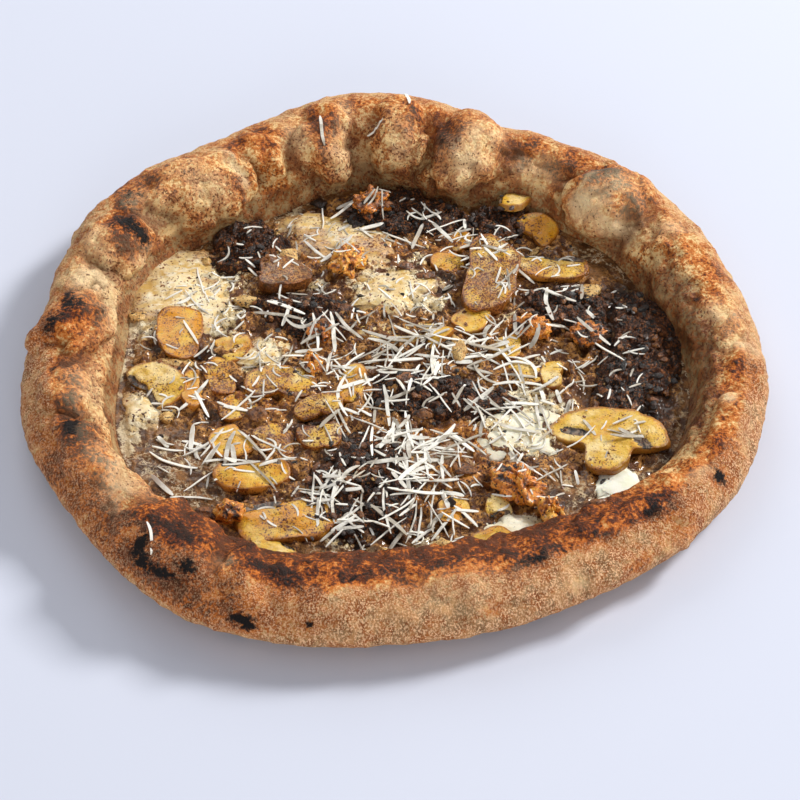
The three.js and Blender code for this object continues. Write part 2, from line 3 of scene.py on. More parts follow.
import bpy
import numpy as np
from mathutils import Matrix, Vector


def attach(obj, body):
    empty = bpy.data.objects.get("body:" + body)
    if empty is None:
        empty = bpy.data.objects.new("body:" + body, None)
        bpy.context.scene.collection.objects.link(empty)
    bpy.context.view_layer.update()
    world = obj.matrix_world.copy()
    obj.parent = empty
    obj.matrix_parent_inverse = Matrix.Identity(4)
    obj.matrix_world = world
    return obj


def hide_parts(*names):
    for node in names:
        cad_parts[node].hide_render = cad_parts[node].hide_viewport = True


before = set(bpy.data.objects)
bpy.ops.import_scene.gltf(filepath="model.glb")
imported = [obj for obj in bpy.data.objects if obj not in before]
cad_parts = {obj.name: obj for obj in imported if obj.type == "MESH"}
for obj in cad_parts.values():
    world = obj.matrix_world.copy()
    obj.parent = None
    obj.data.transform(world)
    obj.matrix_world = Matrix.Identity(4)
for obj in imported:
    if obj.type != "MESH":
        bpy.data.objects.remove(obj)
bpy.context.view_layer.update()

# ------------------------------------------------------------------ the crust
# The dough in one piece: a puffed, bubbled rim round a thin flat base. It is
# stretched by hand and baked in a wood-fired oven, which scorches its bubbles.
# All sizes are millimetres from the rim's centre, directions are degrees.

# The rim's centre lies at minus this in the frame.
MIDDLE = np.array([1.7, 2.9, 0.0])
RIM_RADIUS = 164.5
# Waves of its outline: how many round the rim, cosine part, sine part.
RIM_WAVES = [
    (1, 0.3, -1.2), (2, 0.2, 0.6), (3, 2.5, -0.9), (4, 0, -0.4),
    (5, -1.3, 0.6), (6, -1.2, -0.2), (7, 0.8, -1.8), (8, 0.3, 1.0),
]
RIM_WIDTH = 42
# Where it is wider or narrower: direction, spread, change.
RIM_WIDTH_SWELLS = [
    (-15, 38, -9.5), (213, 16, -8), (163, 14, -6), (95, 30, 3), (272, 35, 7), (61, 9, -9),
]
RIM_HEIGHT_FRONT = 26.5
RIM_HEIGHT_BACK = 31
BASE_TOP = 5.0
FOOT_FILLET = 2.5
# Bubbles: direction, section (0 outermost, 90 crest, 180 inner wall), half
# length, half width, rise.
BUBBLES = [
    (104, 56, 170, 24, 5.5), (90, 58, 62, 22, 8.5), (133, 113, 26, 25, 10.5), (117, 92, 16, 16, 7),
    (154.5, 114, 17, 21, 9.5), (177, 88, 19, 21, 8), (194, 100, 17, 16, 6), (209, 98, 20, 17, 5),
    (103, 124, 16, 26, 12), (88.5, 120, 13, 25, 12), (74.5, 116, 20, 28, 13), (76, 160, 17, 11, 12.5),
    (41.5, 130, 22, 26, 11.5), (12, 128, 34, 26, 3.5), (3.5, 84, 9, 8, 3), (-20, 85, 22, 15, 3.5),
    (-44, 98, 24, 15, 3.5), (285, 82, 32, 15, 2.5), (262, 86, 26, 14, 2.5), (233, 84, 20, 22, 6.5),
    (305, 36, 11, 9, 2.5), (315, 6, 8, 5, 2.5), (248, 88, 12, 14, 3.5), (322, 70, 14, 12, 2.5),
    (338, 74, 14, 12, 3), (354, 70, 12, 13, 2.5), (22, 84, 16, 13, 3), (166, 84, 9, 16, 3),
]
# The dip between the two bubbles at the back right, given as a bubble is.
SADDLE = (58, 100, 15, 30, 2.5)
MM_PER_DEGREE_ALONG = 2.5
MM_PER_DEGREE_ACROSS = 0.34
RIM_STEPS = 840
SECTION_STEPS = 96


def turn_between(a, b):
    """Signed difference of two directions, -180 to 180 degrees."""
    return (a - b + 180) % 360 - 180


def rim_radius(direction):
    """The outer radius: the plain radius plus cosine and sine waves round the rim."""
    waves, c, s = np.array(RIM_WAVES, float).T
    angle = np.radians(direction)[..., None] * waves
    return RIM_RADIUS + (c * np.cos(angle) + s * np.sin(angle)).sum(-1)


def rim_width(direction):
    """The rim's width: the plain width plus bell-shaped swells, change * exp(-(d / spread)^2)."""
    centre, spread, change = np.array(RIM_WIDTH_SWELLS, float).T
    reach = turn_between(direction[..., None], centre) / spread
    return RIM_WIDTH + (change * np.exp(-reach**2)).sum(-1)


def rim_height(direction):
    """The rim's height: lowest in front, highest at the back, by the sine of the direction."""
    middle = (RIM_HEIGHT_BACK + RIM_HEIGHT_FRONT) / 2
    return middle + (RIM_HEIGHT_BACK - RIM_HEIGHT_FRONT) / 2 * np.sin(np.radians(direction))


def on_oval(oval, direction, section):
    """How far along and across an oval on the rim a spot lies, in half sizes of the oval."""
    centre, level, half_along, half_across = oval
    along = turn_between(direction, centre) * MM_PER_DEGREE_ALONG / half_along
    across = (section - level) * MM_PER_DEGREE_ACROSS / half_across
    return along, across


def bubble_cap(bubble, direction, section):
    """One bubble: rise * (1 - along^2 - across^2)^0.6 inside its oval, 0 outside."""
    *oval, rise = bubble
    along, across = on_oval(oval, direction, section)
    return rise * np.maximum(0, 1 - along**2 - across**2) ** 0.6


def rim_point(direction, section, stand=0.0, stray=(0.0, 0.0)):
    """The rim's skin: an oval section carried round the rim, pushed out by the highest bubble
    and by stand. stray moves the bubbles' outlines, in degrees of direction and section, so
    that they aren't true ovals."""
    astray = direction + stray[0], section + stray[1]
    lift = np.max([bubble_cap(b, *astray) for b in BUBBLES], axis=0)
    lift = lift - bubble_cap(SADDLE, *astray) * np.where(lift > 0, 0.5, 1) + stand
    half_width = rim_width(direction) / 2
    half_height = rim_height(direction) / 2
    out = np.cos(np.radians(section))
    up = np.sin(np.radians(section))
    reach = rim_radius(direction) - half_width + (half_width + lift) * out
    level = half_height + half_height * up + np.where(up > -0.2, lift * up, 0)
    turned = np.radians(direction)
    return np.stack([reach * np.cos(turned), reach * np.sin(turned), np.maximum(level, 0.4)], -1)


def foot_radius(direction):
    """Radius of the inner wall's foot."""
    return rim_radius(direction) - rim_width(direction)


def grain(points, size, seed):
    """Smooth noise, -1 to 1: random numbers on a cubic lattice of that cell size, blended
    between by 3t^2 - 2t^3. Whole-number mixing of the cell's place makes the numbers."""
    spot = points / size + seed * 17.31
    cell = np.floor(spot).astype(np.int64)
    part = spot - cell
    part = part * part * (3 - 2 * part)
    total = np.zeros(points.shape[:-1])
    for corner in product((0, 1), repeat=3):
        x, y, z = np.moveaxis(cell + np.array(corner), -1, 0)
        mixed = (x * 73856093 ^ y * 19349663 ^ z * 83492791) & 0x7FFFFFFF
        mixed = ((mixed ^ (mixed >> 13)) * 1274126177) & 0x7FFFFFFF
        mixed = mixed ^ (mixed >> 16)
        weight = np.prod(np.where(np.array(corner) == 1, part, 1 - part), axis=-1)
        total += weight * ((mixed & 0xFFFF) / 32767.5 - 1)
    return total


def layered(points, size, layers, seed):
    """Noise of several sizes, each half as large and half as strong as the one before."""
    total = sum(grain(points, size / 2**i, seed + i) / 2**i for i in range(layers))
    return total / (2 - 0.5 ** (layers - 1))


def ease(value, low, high):
    """0 below low, 1 above high, 3t^2 - 2t^3 between."""
    t = np.clip((value - low) / (high - low), 0, 1)
    return t * t * (3 - 2 * t)


def closed_skin(rings):
    """Points and faces of closed skins: (items, rings, steps, k) values, with the mean of
    the first and of the last ring added as poles."""
    items, count, steps, size = rings.shape
    poles = rings[:, [0, -1]].mean(2)
    flat = rings.reshape(items, count * steps, size)
    points = np.concatenate([poles[:, :1], flat, poles[:, 1:]], 1)
    here = np.arange(steps)
    ahead = (here + 1) % steps
    start = 1 + steps * np.arange(count - 1)[:, None]
    quads = np.stack([start + here, start + ahead, start + steps + ahead, start + steps + here], -1)
    top = 1 + steps * (count - 1)
    fans = np.concatenate([
        np.stack([0 * here, 1 + ahead, 1 + here], -1),
        np.stack([0 * here + top + steps, top + here, top + ahead], -1),
    ])
    shift = (count * steps + 2) * np.arange(items)[:, None, None]
    all_quads = (quads.reshape(-1, 4) + shift).reshape(-1, 4)
    return points.reshape(-1, size), all_quads, (fans + shift).reshape(-1, 3)


def make_piece(name, rings, marks=None):
    """A mesh object of closed skins. rings: (items, rings, steps, 3). marks: named numbers
    for the material, in any shape that can be spread over items, rings and steps."""
    points, quads, fans = closed_skin(rings)
    corners = points[quads]
    turned_out = np.cross(corners[:, 1], corners[:, 2]) + np.cross(corners[:, 2], corners[:, 3])
    if (corners[:, 0] * turned_out).sum() < 0:
        quads = quads[:, ::-1]
        fans = fans[:, ::-1]
    mesh = bpy.data.meshes.new(name)
    mesh.from_pydata(((points - MIDDLE) / 1000).tolist(), [], quads.tolist() + fans.tolist())
    mesh.shade_smooth()
    for mark, values in (marks or {}).items():
        layer = mesh.attributes.new(mark, "FLOAT", "POINT")
        spread = np.broadcast_to(values, rings.shape[:3])[..., None]
        layer.data.foreach_set("value", closed_skin(spread)[0][:, 0].astype(np.float32))
    piece = bpy.data.objects.new(name, mesh)
    bpy.context.scene.collection.objects.link(piece)
    return piece


def tone(colour):
    """A colour as the eye names it, 0 to 255, in the linear values that a shader takes:
    ((c + 0.055) / 1.055)^2.4 above 0.04045 and c / 12.92 below. A Shade is passed on."""
    if isinstance(colour, Shade):
        return colour
    value = np.array(colour) / 255
    linear = np.where(value <= 0.04045, value / 12.92, ((value + 0.055) / 1.055) ** 2.4)
    return (*linear.tolist(), 1.0)


class Shade:
    """One socket of a material. Sums with it add Math nodes, node() adds any other node."""

    def __init__(self, socket):
        self.socket = socket

    def node(self, kind, settings=None, inputs=None, output=0):
        """Adds a node of that kind: its settings first, then the values or links of its sockets."""
        made = self.socket.id_data.nodes.new("ShaderNode" + kind)
        for name, value in (settings or {}).items():
            setattr(made, name, value)
        for name, value in (inputs or {}).items():
            if isinstance(value, Shade):
                self.socket.id_data.links.new(value.socket, made.inputs[name])
            else:
                made.inputs[name].default_value = value
        return Shade(made.outputs[output]) if made.outputs else None

    def math(self, operation, first, second):
        return self.node("Math", {"operation": operation}, {0: first, 1: second})

    def __add__(self, other):
        return self.math("ADD", self, other)

    def __sub__(self, other):
        return self.math("SUBTRACT", self, other)

    def __rsub__(self, other):
        return self.math("SUBTRACT", other, self)

    def __mul__(self, other):
        return self.math("MULTIPLY", self, other)

    __radd__ = __add__
    __rmul__ = __mul__

    def most(self, other):
        return self.math("MAXIMUM", self, other)

    def swing(self, amount):
        """Noise as a push either way: its distance from 0.5, times the amount."""
        return (self - 0.5) * amount

    def ease(self, low, high):
        """0 below low, 1 above high, smooth between."""
        span = {"Value": self, "From Min": low, "From Max": high}
        return self.node("MapRange", {"interpolation_type": "SMOOTHSTEP"}, span)

    def colours(self, first, second):
        """The first colour where this value is 0, the second where it is 1."""
        return self.node("Mix", {"data_type": "RGBA"}, {0: self, 6: tone(first), 7: tone(second)}, 2)

    def mark(self, name):
        """A number that the mesh carries for each point."""
        return self.node("Attribute", {"attribute_name": name}, output=2)

    def noise(self, size, detail=3.0, roughness=0.55, stretch=(1, 1, 1)):
        """Noise, 0 to 1, on this place. Its largest features are size mm across, and longer
        along an axis whose stretch is below 1."""
        spread = self.node("Mapping", None, {"Vector": self, "Scale": stretch})
        return self.node("TexNoise", None, {
            "Vector": spread, "Scale": 1000 / size, "Detail": detail, "Roughness": roughness,
        })

    def flecks(self, size, amount):
        """1 inside scattered flecks about size mm across. amount: 0 hardly any, 1 half of the
        skin."""
        return (self.noise(size * 1.5, 1.5, 0.5, (1, 0.85, 1)) + amount * 0.18).ease(0.68, 0.74)


def new_finish(name):
    """A new material and the place on it, in metres of the object's own frame."""
    material = bpy.data.materials.new(name)
    material.use_nodes = True
    material.node_tree.nodes.clear()
    coordinates = material.node_tree.nodes.new("ShaderNodeTexCoord")
    return material, Shade(coordinates.outputs["Object"])


def coat(place, colour, roughness, height, depth, **constants):
    """Ends a material: colour, roughness and a bump whose height runs over depth mm."""
    bump = place.node("Bump", None, {"Height": height, "Distance": depth / 1000, "Strength": 1.0})
    sockets = {"Base Color": colour, "Roughness": roughness, "Normal": bump}
    sockets.update({name.replace("_", " "): value for name, value in constants.items()})
    shader = place.node("BsdfPrincipled", None, sockets)
    place.node("OutputMaterial", None, {"Surface": shader})


def painted(colour, *layers):
    """A colour with layers over it. Each layer is a share of 0 to 1 and its own colour."""
    for share, over in layers:
        colour = share.colours(colour, over)
    return colour


def spots_on_rim(rows, direction, section):
    """How strongly the listed oval marks cover each point: 1 - product of
    (1 - strength * exp(-d^2)), d in half sizes."""
    clear = np.ones(np.broadcast(direction, section).shape)
    for *oval, strength in rows:
        along, across = on_oval(oval, direction, section)
        clear *= 1 - strength * np.exp(-(along**2 + across**2))
    return 1 - clear


# Where the oven browned the rim: direction, section, half length, half width, strength.
TOASTED = [
    (153, 118, 14, 11, 0.75), (157, 128, 5, 7, 0.4), (144, 70, 10, 12, 0.75), (148, 88, 7, 7, 0.6),
    (163, 75, 6, 9, 0.3), (177, 92, 12, 15, 0.7), (176, 121, 7, 4, 0.5), (181, 70, 7, 5, 0.6),
    (188, 92, 10, 7, 0.55), (197, 100, 9, 6, 0.5), (204, 92, 13, 10, 0.8), (214, 107, 9, 6, 0.7),
    (203, 108, 8, 5, 0.6), (211, 78, 14, 7, 0.5), (217, 90, 8, 5, 0.45), (226, 72, 16, 4, 0.5),
    (228, 92, 8, 6, 0.6), (233, 100, 12, 8, 0.7), (238, 84, 12, 11, 0.55), (243, 98, 9, 6, 0.55),
    (250, 100, 9, 6, 0.8), (254, 86, 9, 7, 0.8), (258, 68, 7, 4, 0.4), (262, 92, 6, 4, 0.75),
    (266, 86, 8, 4, 0.8), (272, 84, 10, 3.5, 0.65), (281, 80, 12, 3, 0.6), (290, 78, 10, 3.5, 0.8),
    (296, 80, 12, 4, 0.85), (306, 77, 9, 3, 0.75), (312, 80, 8, 5, 0.65), (317, 82, 9, 5.5, 0.9),
    (318, 66, 8, 4, 0.5), (324, 76, 7, 4, 0.35), (284, 30, 5, 3, 0.5), (290, 61, 3, 3, 0.5),
    (309, 18, 8, 6, 0.6), (318, 50, 14, 12, 0.35), (318, 20, 10, 6, 0.4), (328, 48, 6, 10, 0.6),
    (335, 68, 8, 8, 0.6), (333, 84, 8, 5, 0.45), (342, 86, 7, 6, 0.5), (350, 80, 9, 9, 0.65),
    (352, 62, 6, 5, 0.4), (345, 106, 7, 5, 0.45), (13, 66, 7, 8, 0.6), (20, 74, 8, 8, 0.35),
    (8.5, 120, 4, 3, 0.5), (26, 92, 8, 8, 0.35), (2, 100, 6, 5, 0.3), (43, 98, 13, 7, 0.65),
    (37, 112, 6, 5, 0.4), (47, 90, 6, 6, 0.5), (42, 114, 12, 9, 0.46), (58, 124, 14, 14, 0.12),
    (45, 132, 4, 5, 0.45), (190, 112, 12, 9, 0.34), (48, 138, 3, 6, 0.3), (36, 132, 4, 9, 0.42),
    (33, 108, 7, 10, 0.45), (40, 130, 3, 8, 0.4), (66, 120, 9, 10, 0.35), (57, 132, 10, 8, 0.3),
    (55, 96, 7, 8, 0.6), (62, 88, 8, 8, 0.75), (63, 108, 5, 7, 0.5), (76, 124, 9, 12, 0.6),
    (79, 110, 5, 8, 0.7), (80, 96, 5, 4, 0.5), (87, 112, 5, 14, 0.4), (85, 92, 7, 5, 0.5),
    (101, 112, 7, 12, 0.55), (106, 126, 6, 7, 0.45), (105, 96, 7, 5, 0.6), (116, 72, 10, 6, 0.7),
    (117, 104, 8, 6, 0.4), (122, 74, 7, 6, 0.55), (131, 72, 14, 5, 0.4), (126, 148, 4, 8, 0.55),
    (135, 96, 14, 9, 0.3), (139, 58, 8, 8, 0.6), (209, 30, 8, 8, 0.45), (217, 25, 4, 8, 0.4),
    (222, 60, 14, 9, 0.35), (235, 30, 5, 4, 0.3), (247, 60, 6, 6, 0.35), (170, 60, 5, 8, 0.25),
    (238, 34, 42, 14, 0.75), (206, 36, 40, 12, 0.45), (222, 62, 14, 8, 0.5),
]
# Where it burnt it black.
CHARRED = [
    (152.6, 124, 4.5, 6, 1.0), (152, 108, 4.5, 4.5, 0.9), (154.5, 100, 4, 3, 0.55),
    (149, 132, 2.5, 4, 0.5), (175.5, 87, 4.5, 5, 0.85), (179.5, 71, 5, 3.2, 0.75),
    (176, 121, 3.2, 2.2, 0.5), (172.5, 80, 4, 3, 0.6), (203.5, 92, 4.5, 4, 0.95),
    (201.5, 107, 3, 2.2, 0.6), (206, 86, 3, 2, 0.6), (231.3, 61, 2.6, 6, 1.0), (233, 45, 4, 3.2, 1.0),
    (236.5, 47, 5, 2.8, 0.95), (239.7, 64, 3.4, 2.8, 0.85), (249.5, 27, 4.6, 4, 1.0),
    (250.8, 16, 3, 3, 0.85), (259, 28, 1.8, 2.6, 0.85), (264.6, 87, 3.2, 2.6, 0.6),
    (294, 79, 7, 2.4, 0.75), (299, 77, 4, 2, 0.5), (316, 79, 6.5, 4, 0.7), (328.6, 48, 2.5, 5.6, 1.0),
    (8.6, 121, 2, 1.8, 0.6), (79, 113, 2.6, 4, 0.55), (62.4, 86, 3, 2, 0.45), (143, 72, 3, 6, 0.45),
    (209.5, 14, 5, 4, 0.45), (283.6, 30, 3, 1.8, 0.45), (308, 20, 3.5, 3.5, 0.5),
    (105, 128, 2.5, 3, 0.4),
]
# Where the dough stayed pale: blisters, folds and stretched skin.
PALE = [
    (165, 108, 12, 10, 0.85), (168, 92, 7, 10, 0.6), (158, 88, 7, 4, 0.5), (155, 160, 10, 8, 0.6),
    (189, 118, 12, 8, 0.1), (219, 96, 6, 8, 0.6), (222, 84, 5, 4, 0.4), (357, 62, 6, 16, 0.85),
    (344, 98, 3.5, 3.5, 0.9), (339, 48, 8, 5, 0.5), (298, 27, 4.5, 5, 0.8), (315, 4, 5, 5, 0.6),
    (3.6, 96, 7, 8, 0.7), (33, 142, 7, 9, 0.75), (28, 96, 7, 10, 0.4), (36, 160, 7, 6, 0.4),
    (125, 118, 2.2, 14, 0.8), (68, 98, 3, 9, 0.5), (58, 118, 12, 9, 0.22), (110, 108, 6, 12, 0.5),
    (99, 110, 4, 12, 0.45), (144, 122, 9, 12, 0.55), (134, 130, 10, 8, 0.25), (72, 96, 5, 5, 0.4),
    (280, 55, 30, 8, 0.3), (243, 88, 5, 3, 0.3), (327, 70, 5, 4, 0.5), (12, 44, 14, 5, 0.4),
    (43, 142, 10, 6, 0.9), (46, 126, 2.5, 8, 0.7), (36, 148, 9, 4, 0.7), (51, 138, 2.5, 6, 0.6),
    (60, 142, 12, 12, 0.5), (172, 150, 24, 9, 0.7), (72, 130, 8, 12, 0.6), (133, 118, 14, 14, 0.3),
    (196, 134, 18, 12, 0.5), (216, 124, 18, 12, 0.6), (88, 132, 9, 9, 0.5), (101, 140, 10, 8, 0.5),
    (74, 140, 14, 8, 0.4), (40, 110, 10, 9, 0.5),
]

SECTION_LOWEST = -58
SECTION_INNERMOST = 174
# What counts as the section under the rim and on the base when marks are painted.
SECTION_BELOW = -75.0
SECTION_INSIDE = 178.0
# How far noise moves the outlines of bubbles, of marks and of burns: degrees of direction
# and of section.
BUBBLE_STRAY = (5.5, 36)
MARK_STRAY = (2.2, 13)
BURN_STRAY = (0.9, 5)
SMALL_BUBBLES = 110
SMALL_BUBBLE_SHAPE = np.array([1, 0.8, 0.16])
# The skin starts this far inside the section, so that its relief stays within it.
SKIN_DEPTH = 1.2
# How much larger than a burn the browned ring round it is.
HALO = 1.9
# Where the inner wall is free of brown powder, and where it is wet and takes painted shade as it faces
# away from the lamp: directions.
CLEAN_SIDE = 48
SHADED_SIDE = -3

directions = np.arange(RIM_STEPS)[None, :] * 360 / RIM_STEPS
sections = np.linspace(SECTION_LOWEST, SECTION_INNERMOST, SECTION_STEPS)[:, None]
plain = rim_point(directions, sections)
blisters = np.random.default_rng(5)
small_bubbles = [
    (blisters.uniform(0, 360), blisters.uniform(60, 150), *(blisters.uniform(2.5, 6) * SMALL_BUBBLE_SHAPE))
    for _ in range(SMALL_BUBBLES)
]
stray = BUBBLE_STRAY[0] * layered(plain, 16, 3, 91), BUBBLE_STRAY[1] * layered(plain, 16, 3, 95)
pleats = np.abs(layered(plain * (1, 1, 0.5), 12, 3, 8))
inner_side = 0.25 + 0.75 * ease(sections, 84, 116)
pleated = 3.6 * pleats - 1.3 + 1.6 * layered(plain, 7, 2, 18)
relief = 1.2 * layered(plain, 24, 3, 3) + inner_side * pleated
relief = relief + 0.8 * layered(plain, 3.5, 3, 14)
relief = relief + np.max([bubble_cap(b, directions, sections) for b in small_bubbles], axis=0)
relief = relief * (1 - 0.75 * ease(plain[..., 2], 33, 41))
swelling = np.max([bubble_cap(b, directions + stray[0], sections + stray[1]) for b in BUBBLES], axis=0)
swelling = swelling * ease(sections, 55, 90)
# Painted shade: the dough's colour darkens in the creases round the bubbles and along the pleats.
around_it = sum(np.roll(swelling, step, axis=1) for step in range(-16, 17, 2)) / 17
pleat_crease_shade = 0.6 * ease(pleats, 0.08, 0.0) * inner_side
crease_shade = np.maximum(ease(around_it - swelling, 0.5, 3.2), pleat_crease_shade)
wall = rim_point(directions, sections, relief * ease(sections, -50, -20) - SKIN_DEPTH, stray)


def level_ring(reach, level):
    """A ring round the pizza, its reach from the centre and its level given for each direction."""
    turned = np.radians(directions)
    return np.stack([reach * np.cos(turned), reach * np.sin(turned), level + 0 * directions], -1)


outer = rim_radius(directions) - rim_width(directions) * 0.4
inner = foot_radius(directions)
underside = [level_ring(outer * share, 0.0) for share in (0.02, 0.2, 0.4, 0.6, 0.8, 0.92, 1)]
underside += [wall[:1] * t + underside[-1] * (1 - t) for t in (0.35, 0.7)]
base_top = [level_ring(inner - 0.3, BASE_TOP + 4), level_ring(inner - FOOT_FILLET, BASE_TOP)]
base_top += [level_ring((inner - FOOT_FILLET) * share, BASE_TOP) for share in (0.8, 0.5, 0.2, 0.02)]
crust_rings = np.concatenate([*underside, wall, *base_top])[None]
round_wall = ((len(underside), len(base_top)), (0, 0))
crust_section = np.pad(sections, round_wall, constant_values=((SECTION_BELOW, SECTION_INSIDE), (0, 0)))

# The marks for the oven's work and painted shade, on outlines that noise has made ragged.
drift = layered(crust_rings[0], 9, 3, 21), layered(crust_rings[0], 9, 3, 31)
marked_direction = directions + MARK_STRAY[0] * drift[0]
marked_section = crust_section + MARK_STRAY[1] * drift[1]
burnt_direction = directions + BURN_STRAY[0] * drift[0]
burnt_section = crust_section + BURN_STRAY[1] * drift[1]
towards_front = -np.sin(np.radians(directions))
behind = ease(-towards_front, 0.0, 0.4)
char = spots_on_rim(CHARRED, burnt_direction, burnt_section)
pale = spots_on_rim(PALE, marked_direction, marked_section)
crest = np.exp(-(((marked_section - 84) / 22) ** 2))
front_band = ease(towards_front, 0.5, 0.8) * ease(marked_section, 76, 92)
halo_rows = [(d, s, HALO * a, HALO * b, k) for d, s, a, b, k in CHARRED]
halo = spots_on_rim(halo_rows, marked_direction, marked_section)
toast = spots_on_rim(TOASTED, marked_direction, marked_section)
toast = np.max([toast, 0.3 * crest, 0.6 * front_band, 0.75 * halo], axis=0)
toast = (toast + 0.1 * ease(marked_section, 70, 110)) * (1 - 0.75 * pale)
crease_shade_mark = np.pad(crease_shade, round_wall)
lit = 0.6 + 0.4 * ease(ease(towards_front, -0.35, 0.5), 0.1, 0.6)
flour = ease(80 - marked_section, 0, 10) * lit * (1 - 0.6 * toast) * (1 - 0.6 * pale)
patchy = 0.5 + 0.5 * layered(crust_rings[0], 30, 2, 44)
powder = ease(marked_section, 88, 120) * patchy * (1 - 0.35 * behind)
powder = (powder + 0.3 * ease(marked_section, 55, 80) * behind) * (1 - 0.5 * pale)
clean_side = np.exp(-((turn_between(marked_direction, CLEAN_SIDE) / 22) ** 2))
powder = powder * (1 - 0.75 * clean_side)
# Real wetness by the cream, and painted shade on the inner wall that faces away from the lamp and along
# the wall's foot under the bubbles.
shade_side = ease(np.cos(np.radians(directions - SHADED_SIDE)), 0.84, 0.97)
soak_and_shade = ease(marked_section, 96, 136) * np.maximum(shade_side, 0.15 * (1 - clean_side))
soak_and_shade = soak_and_shade + ease(marked_section, 154, 174) * 0.7
crust = make_piece("crust_dough", crust_rings, {
    "toast": toast, "char": char, "pale": pale, "flour": flour, "powder": powder,
    "soak_and_shade": np.clip(soak_and_shade, 0, 1), "baked": ease(-crust_section, 20, 60), "crease_shade_mark": crease_shade_mark,
    "calm": ease(towards_front, 0.1, 0.6),
})

dough, at = new_finish("baked_dough")
fine = at.noise(1.5, 3.0, 0.6)
middle = at.noise(9, 5.0, 0.62)
mottle = at.noise(3.0, 5.0, 0.7)
grit = at.noise(0.75, 3.0, 0.75, (1, 1, 0.6))
streaks = at.noise(6, 4.0, 0.65, (1, 1, 0.35))
blotches = (middle.swing(1.8) + mottle.swing(1.3)) * (1 - at.mark("calm") * 0.15)
toasted = at.mark("toast") + blotches + fine.swing(1.1)
dusted = at.mark("powder") * (mottle.ease(0.4, 0.66) * 0.5 + fine.ease(0.48, 0.66) * 0.3)
specks = at.flecks(0.75, at.mark("powder") * middle.ease(0.3, 0.65) * 1.7)
grains = at.mark("flour") * (1.2 - at.mark("toast") * 0.7 - streaks * 0.3)
under = at.mark("baked") * at.noise(14, 3.0, 0.5).ease(0.5, 0.62)
ragged = (middle + mottle + fine - 1.5) * at.mark("char").ease(0.0, 0.2) * 0.8
burnt = (at.mark("char") + ragged).ease(0.3, 0.74)
colour = painted(
    (255, 216, 152),
    (toasted.ease(-0.1, 0.2), (220, 150, 80)),
    (toasted.ease(0.14, 0.42), (206, 110, 30)),
    (toasted.ease(0.36, 0.68), (108, 48, 16)),
    (toasted.ease(0.6, 0.98), (34, 18, 12)),
    (at.mark("pale") * middle.ease(0.3, 0.52) * 0.95, (255, 230, 182)),
    (dusted * 0.7, (134, 76, 32)),
    # wet darkening and painted shade of the inner wall
    (at.mark("soak_and_shade") * (0.35 + middle * 0.9), mottle.ease(0.4, 0.62).colours((72, 40, 22), (144, 92, 54))),
    # painted shade in the creases
    (at.mark("crease_shade_mark") * (0.25 + middle * 0.7), (104, 58, 28)),
    (specks * 0.85, (96, 46, 18)),
    (grains * 0.75, streaks.ease(0.38, 0.58).colours((104, 50, 24), (178, 106, 58))),
    (grains * middle.ease(0.5, 0.64) * 0.75, (156, 82, 34)),
    (grains * grit.ease(0.5, 0.57) * 0.9, (255, 210, 164)),
    (under * 0.7, (112, 66, 34)),
    (burnt, (24, 19, 18)),
)
rough = 0.6 + at.mark("flour") * 0.25 - at.mark("soak_and_shade") * 0.22 + burnt * 0.1
height = middle * 0.9 + mottle * 0.8 + fine * 0.5 + grit * (0.15 + at.mark("flour") * 0.7)
height = height + burnt * fine * 0.5
coat(at, colour, rough, height, 1.3, Specular_IOR_Level=0.25, Subsurface_Weight=0.04,
     Subsurface_Radius=(0.004, 0.002, 0.001))
crust.data.materials.append(dough)
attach(crust, "root")
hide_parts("crust")

# ------------------------------------------------------------------ the cream
# A thin layer of mushroom cream spread over the base. It shows wet and lumpy at
# the edge. In the middle melted cheese and chopped mushroom have sunk into it
# and baked to a bumpy crust, scorched dark in places, milky in others. Painted
# shade darkens its hollows, and painted shadow falls under some pieces and by the rim.
CREAM_TOP = 7.0
# Where it lies thicker: x, y, radius, rise.
CREAM_LUMPS = [
    (-90, -62, 26, 1.8), (-100, -74, 14, 1.2), (72, -74, 16, 1.6), (82, -92, 14, 1.4),
    (96, 66, 16, 1.8), (-30, -112, 14, 1), (0, 0, 112, 2.6),
]
# Where no topping covers it: x, y, radius.
BARE_CREAM = [
    (-92, -64, 22), (-100, -44, 12), (-80, -82, 12), (76, -80, 14), (92, -94, 12), (94, 68, 13),
    (-122, -18, 9), (-118, 8, 8), (-30, -116, 10), (60, -118, 12), (-84, 92, 8),
]
# Where it is scorched, milky or browned: x, y, half sizes, strength. The first list
# also holds painted shadow under some pieces and by the rim's right wall.
SCORCHED_AND_SHADOWED = [
    (-70, 86, 12, 20, 1), (-50, 42, 13, 7, 1), (-42, 30, 22, 9, 0.9), (-12, 106, 13, 15, 1),
    (3, 84, 9, 5, 0.6), (30, 98, 14, 9, 0.75), (50, 92, 10, 9, 0.8), (26, 52, 7, 12, 0.8),
    (100, 74, 15, 14, 0.9), (104, 42, 16, 14, 0.75), (108, 8, 19, 27, 1), (114, -24, 12, 17, 1),
    (20, -27, 23, 10, 1), (-34, -42, 10, 7, 0.8), (-14, -58, 22, 9, 0.8), (-12, -82, 13, 20, 0.95),
    (80, 40, 9, 6, 0.6), (-74, -34, 8, 8, 0.6), (-62, -80, 8, 6, 0.6), (-113, -14, 5, 8, 0.8),
    (20, 8, 22, 12, 0.5), (-2, -98, 9, 8, 0.7), (-82, 6, 8, 4, 0.7), (70, 4, 5, 10, 0.5),
    (-105, 8, 7, 3, 0.8), (118, -52, 6, 14, 0.7), (-30, 44, 8, 5, 0.6), (56, -62, 12, 6, 0.4),
    (5, -12, 18, 5, 0.6),
]
